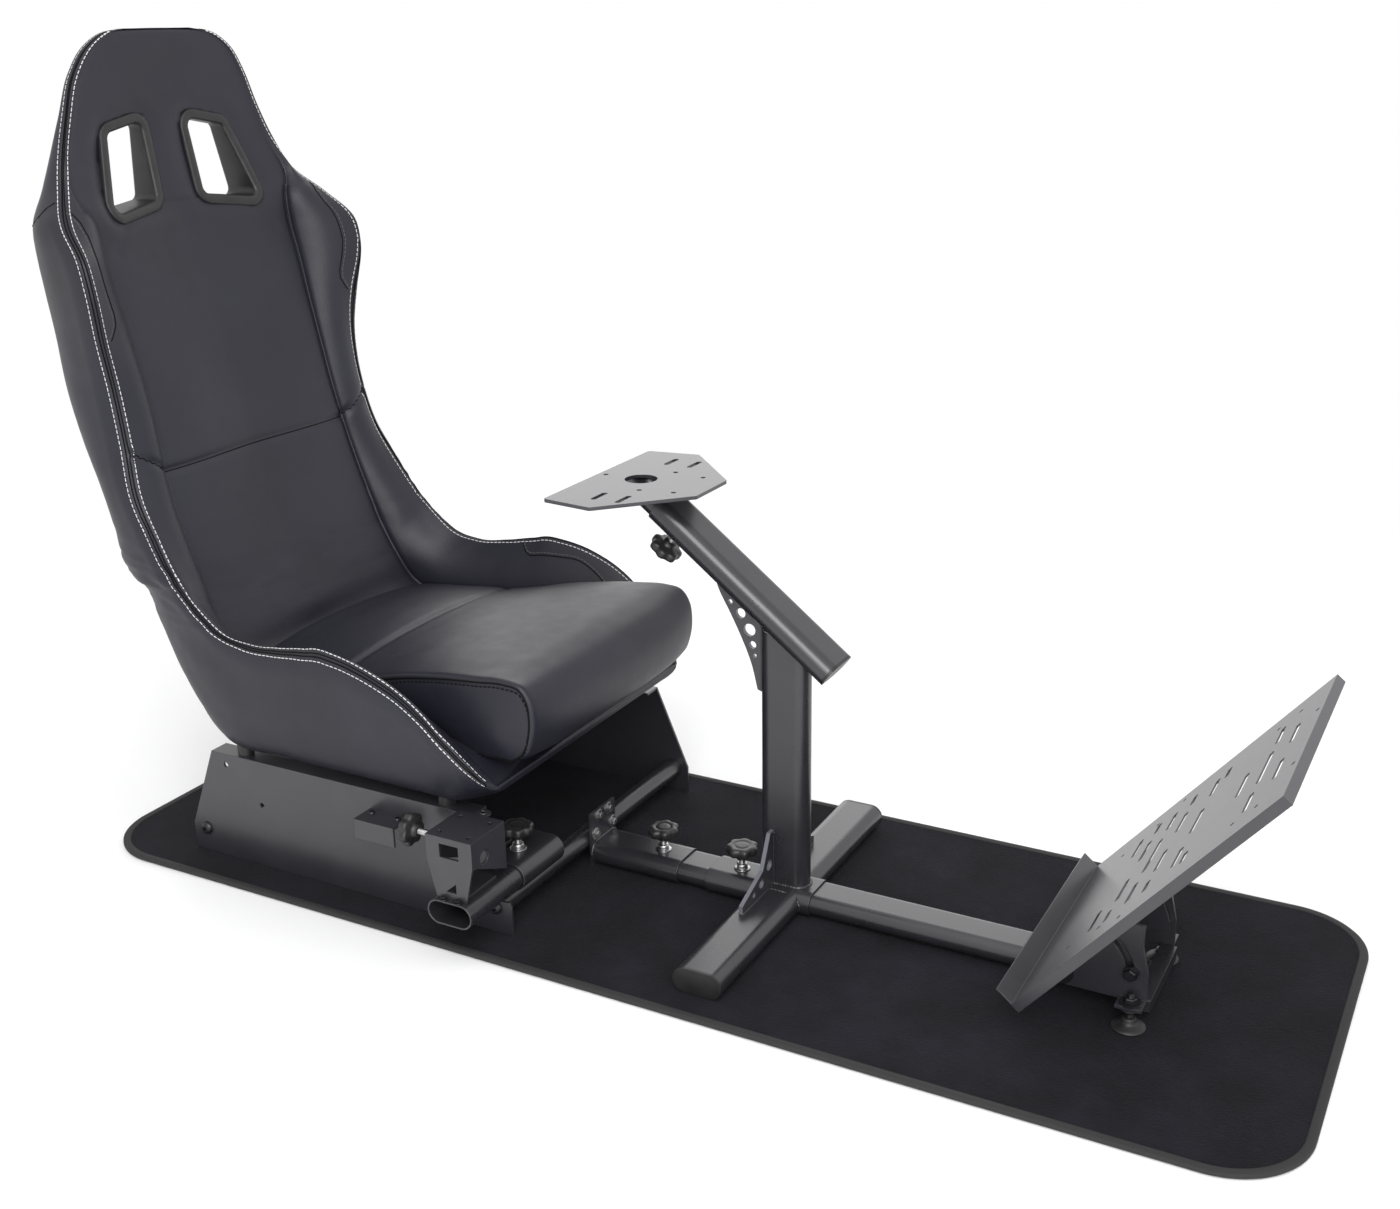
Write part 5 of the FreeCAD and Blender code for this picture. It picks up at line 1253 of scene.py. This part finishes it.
# Metal carried over from the CAD model: plates, tubes by how far their edges are eased, and small parts
SHEET_NODES = (
    "right_side_plate", "left_side_plate", "side_bracket", "rear_bracket", "right_pedal_bracket",
    "left_pedal_bracket", "base_gussets", "wheel_plate", "pedal_deck", "pedal_lugs", "shifter_stand",
)
TUBE_NODES = {
    0.0004: ("post",),
    0.0005: ("front_cross_tube", "rear_cross_tube", "slide_tube", "right_foot_arm", "left_foot_arm",
             "wheel_tube"),
    0.0006: ("rear_tube", "shifter_sleeve", "column_sleeve", "sloped_tube", "shifter_tube"),
    0.0015: ("pedal_cross_bar",),
}
OTHER_NODES = {
    "seat_spacers": (RUBBER, 0.0008), "foot_caps": (CAP_PLASTIC, 0.0014), "slope_cap": (CAP_PLASTIC, 0.0012),
    "pedal_pivot": (BLACK_ZINC, 0.0004), "tilt_bolts": (BLACK_ZINC, 0.0008),
}


def dress_node(name, material, bevel=0.0):
    """Give a CAD node its material, with its sharp edges eased where bevel is above 0."""
    piece = nodes[name]
    piece.data.materials.clear()
    piece.data.materials.append(material)
    if not bevel:
        return
    weld = piece.modifiers.new("weld", "WELD")
    weld.merge_threshold = 1e-5
    eased = piece.modifiers.new("ease", "BEVEL")
    eased.width = bevel
    eased.segments = 2
    eased.limit_method = "ANGLE"
    eased.angle_limit = math.radians(38)
    eased.use_clamp_overlap = True
    even = piece.modifiers.new("even", "WEIGHTED_NORMAL")
    even.keep_sharp = False


for name in SHEET_NODES:
    dress_node(name, SHEET_POWDER)
# Painted highlight on the gussets' cut edges.
paint_edge_highlights(nodes["base_gussets"].data, 0)
for bevel, names in TUBE_NODES.items():
    for name in names:
        dress_node(name, POWDER, bevel)
for name, (material, bevel) in OTHER_NODES.items():
    dress_node(name, material, bevel)


# Stage: floor, world, lights and camera
FLOOR_Z, FLOOR_REACH, FADE_START, FADE_END = -0.0006, 12.0, 1.2, 2.2
WORLD_LEVEL, WORLD_LEAN, WHITE = 0.62, (0.06, 0.20, 0.36), (1.0, 1.0, 1.0, 1.0)
LIGHTS = (
    ("top_softbox", (0.2, -0.4, 2.6), (-0.1, 0.0, 0.3), 2.2, 6.0),
    ("front_softbox", (1.6, -2.6, 1.3), (-0.4, 0.1, 0.5), 2.2, 44.0),
    ("high_softbox", (0.9, -1.9, 2.3), (0.0, 0.0, 0.4), 1.3, 31.0),
    ("rear_softbox", (-1.5, 3.0, 1.5), (-0.1, 0.0, 0.4), 2.6, 23.0),
)
CAMERA_AT, CAMERA_LENS, CAMERA_SENSOR = (0.86, -1.5655, 1.0), 42.12, 36.0
CAMERA_AXES = (0.8810, 0.4728, -0.0164), (-0.1450, 0.3028, 0.9420), (0.4503, -0.8275, 0.3354)


def seen_factor(tree):
    """1 for rays from the camera, and for those that come by a mirror image or through glass."""
    rays = add_node(tree, "LightPath", {}).outputs
    total = rays["Is Camera Ray"]
    for name in ("Is Glossy Ray", "Is Transmission Ray"):
        total = add_node(tree, "Math", {0: total, 1: rays[name]}, operation="MAXIMUM").outputs[0]
    return total


def make_stage():
    """A plain pale floor that fades into the white of the studio away from the object."""
    mesh = bpy.data.meshes.new("floor")
    corners = [(x * FLOOR_REACH, y * FLOOR_REACH, FLOOR_Z) for x, y in ((-1, -1), (1, -1), (1, 1), (-1, 1))]
    mesh.from_pydata(corners, [], [(0, 1, 2, 3)])
    floor = link_object("floor", mesh)
    look = Look("pale_floor")
    tree = look.tree
    away = add_node(tree, "VectorMath", {0: look.where}, operation="LENGTH").outputs["Value"]
    limits = {"Value": away, "From Min": FADE_START, "From Max": FADE_END}
    fade = add_node(tree, "MapRange", limits, interpolation_type="SMOOTHSTEP").outputs["Result"]
    shown = add_node(tree, "Math", {0: fade, 1: seen_factor(tree)}, operation="MULTIPLY").outputs[0]
    white = add_node(tree, "Emission", {}).outputs[0]
    blend = add_node(tree, "MixShader", {"Fac": shown, 1: look.shader.outputs[0], 2: white}).outputs[0]
    feed(tree, tree.nodes["Material Output"], {"Surface": blend})
    mesh.materials.append(look.finish({
        "Base Color": look.tones(look.noise(1.5), 0.0, grey(0.97), 1.0, grey(0.99)),
        "Roughness": 0.8,
        "Specular IOR Level": 0.1,
    }))


def make_world():
    """A white studio: full white where it is seen, and on the object brighter from behind and above."""
    world = bpy.data.worlds.new("studio")
    bpy.context.scene.world = world
    world.use_nodes = True
    tree = world.node_tree
    tree.nodes.clear()
    place = add_node(tree, "TexCoord", {}).outputs["Generated"]
    toward = add_node(tree, "VectorMath", {0: place, 1: WORLD_LEAN}, operation="DOT_PRODUCT").outputs["Value"]
    level = add_node(tree, "Math", {0: toward, 1: WORLD_LEVEL}, operation="ADD").outputs[0]
    lit = add_node(tree, "Background", {"Color": WHITE, "Strength": level}).outputs[0]
    seen = add_node(tree, "Background", {"Color": WHITE, "Strength": 1.0}).outputs[0]
    mix = add_node(tree, "MixShader", {"Fac": seen_factor(tree), 1: lit, 2: seen}).outputs[0]
    add_node(tree, "OutputWorld", {"Surface": mix})


def make_light(name, location, target, size, power):
    """A soft square lamp that points at a place."""
    lamp = bpy.data.lights.new(name, "AREA")
    lamp.size = size
    lamp.energy = power
    holder = link_object(name, lamp)
    holder.location = location
    holder.rotation_mode = "QUATERNION"
    holder.rotation_quaternion = (Vector(target) - Vector(location)).to_track_quat("-Z", "Y")
    holder.visible_camera = False


def make_camera():
    """The photograph's viewpoint."""
    camera = bpy.data.cameras.new("camera")
    camera.sensor_width = CAMERA_SENSOR
    camera.lens = CAMERA_LENS
    camera.clip_end = 100.0
    holder = link_object("camera", camera)
    holder.matrix_world = Matrix.Translation(CAMERA_AT) @ Matrix(CAMERA_AXES).transposed().to_4x4()
    bpy.context.scene.camera = holder


make_stage()
make_world()
for light in LIGHTS:
    make_light(*light)
make_camera()
bpy.context.scene.view_settings.view_transform = "Standard"
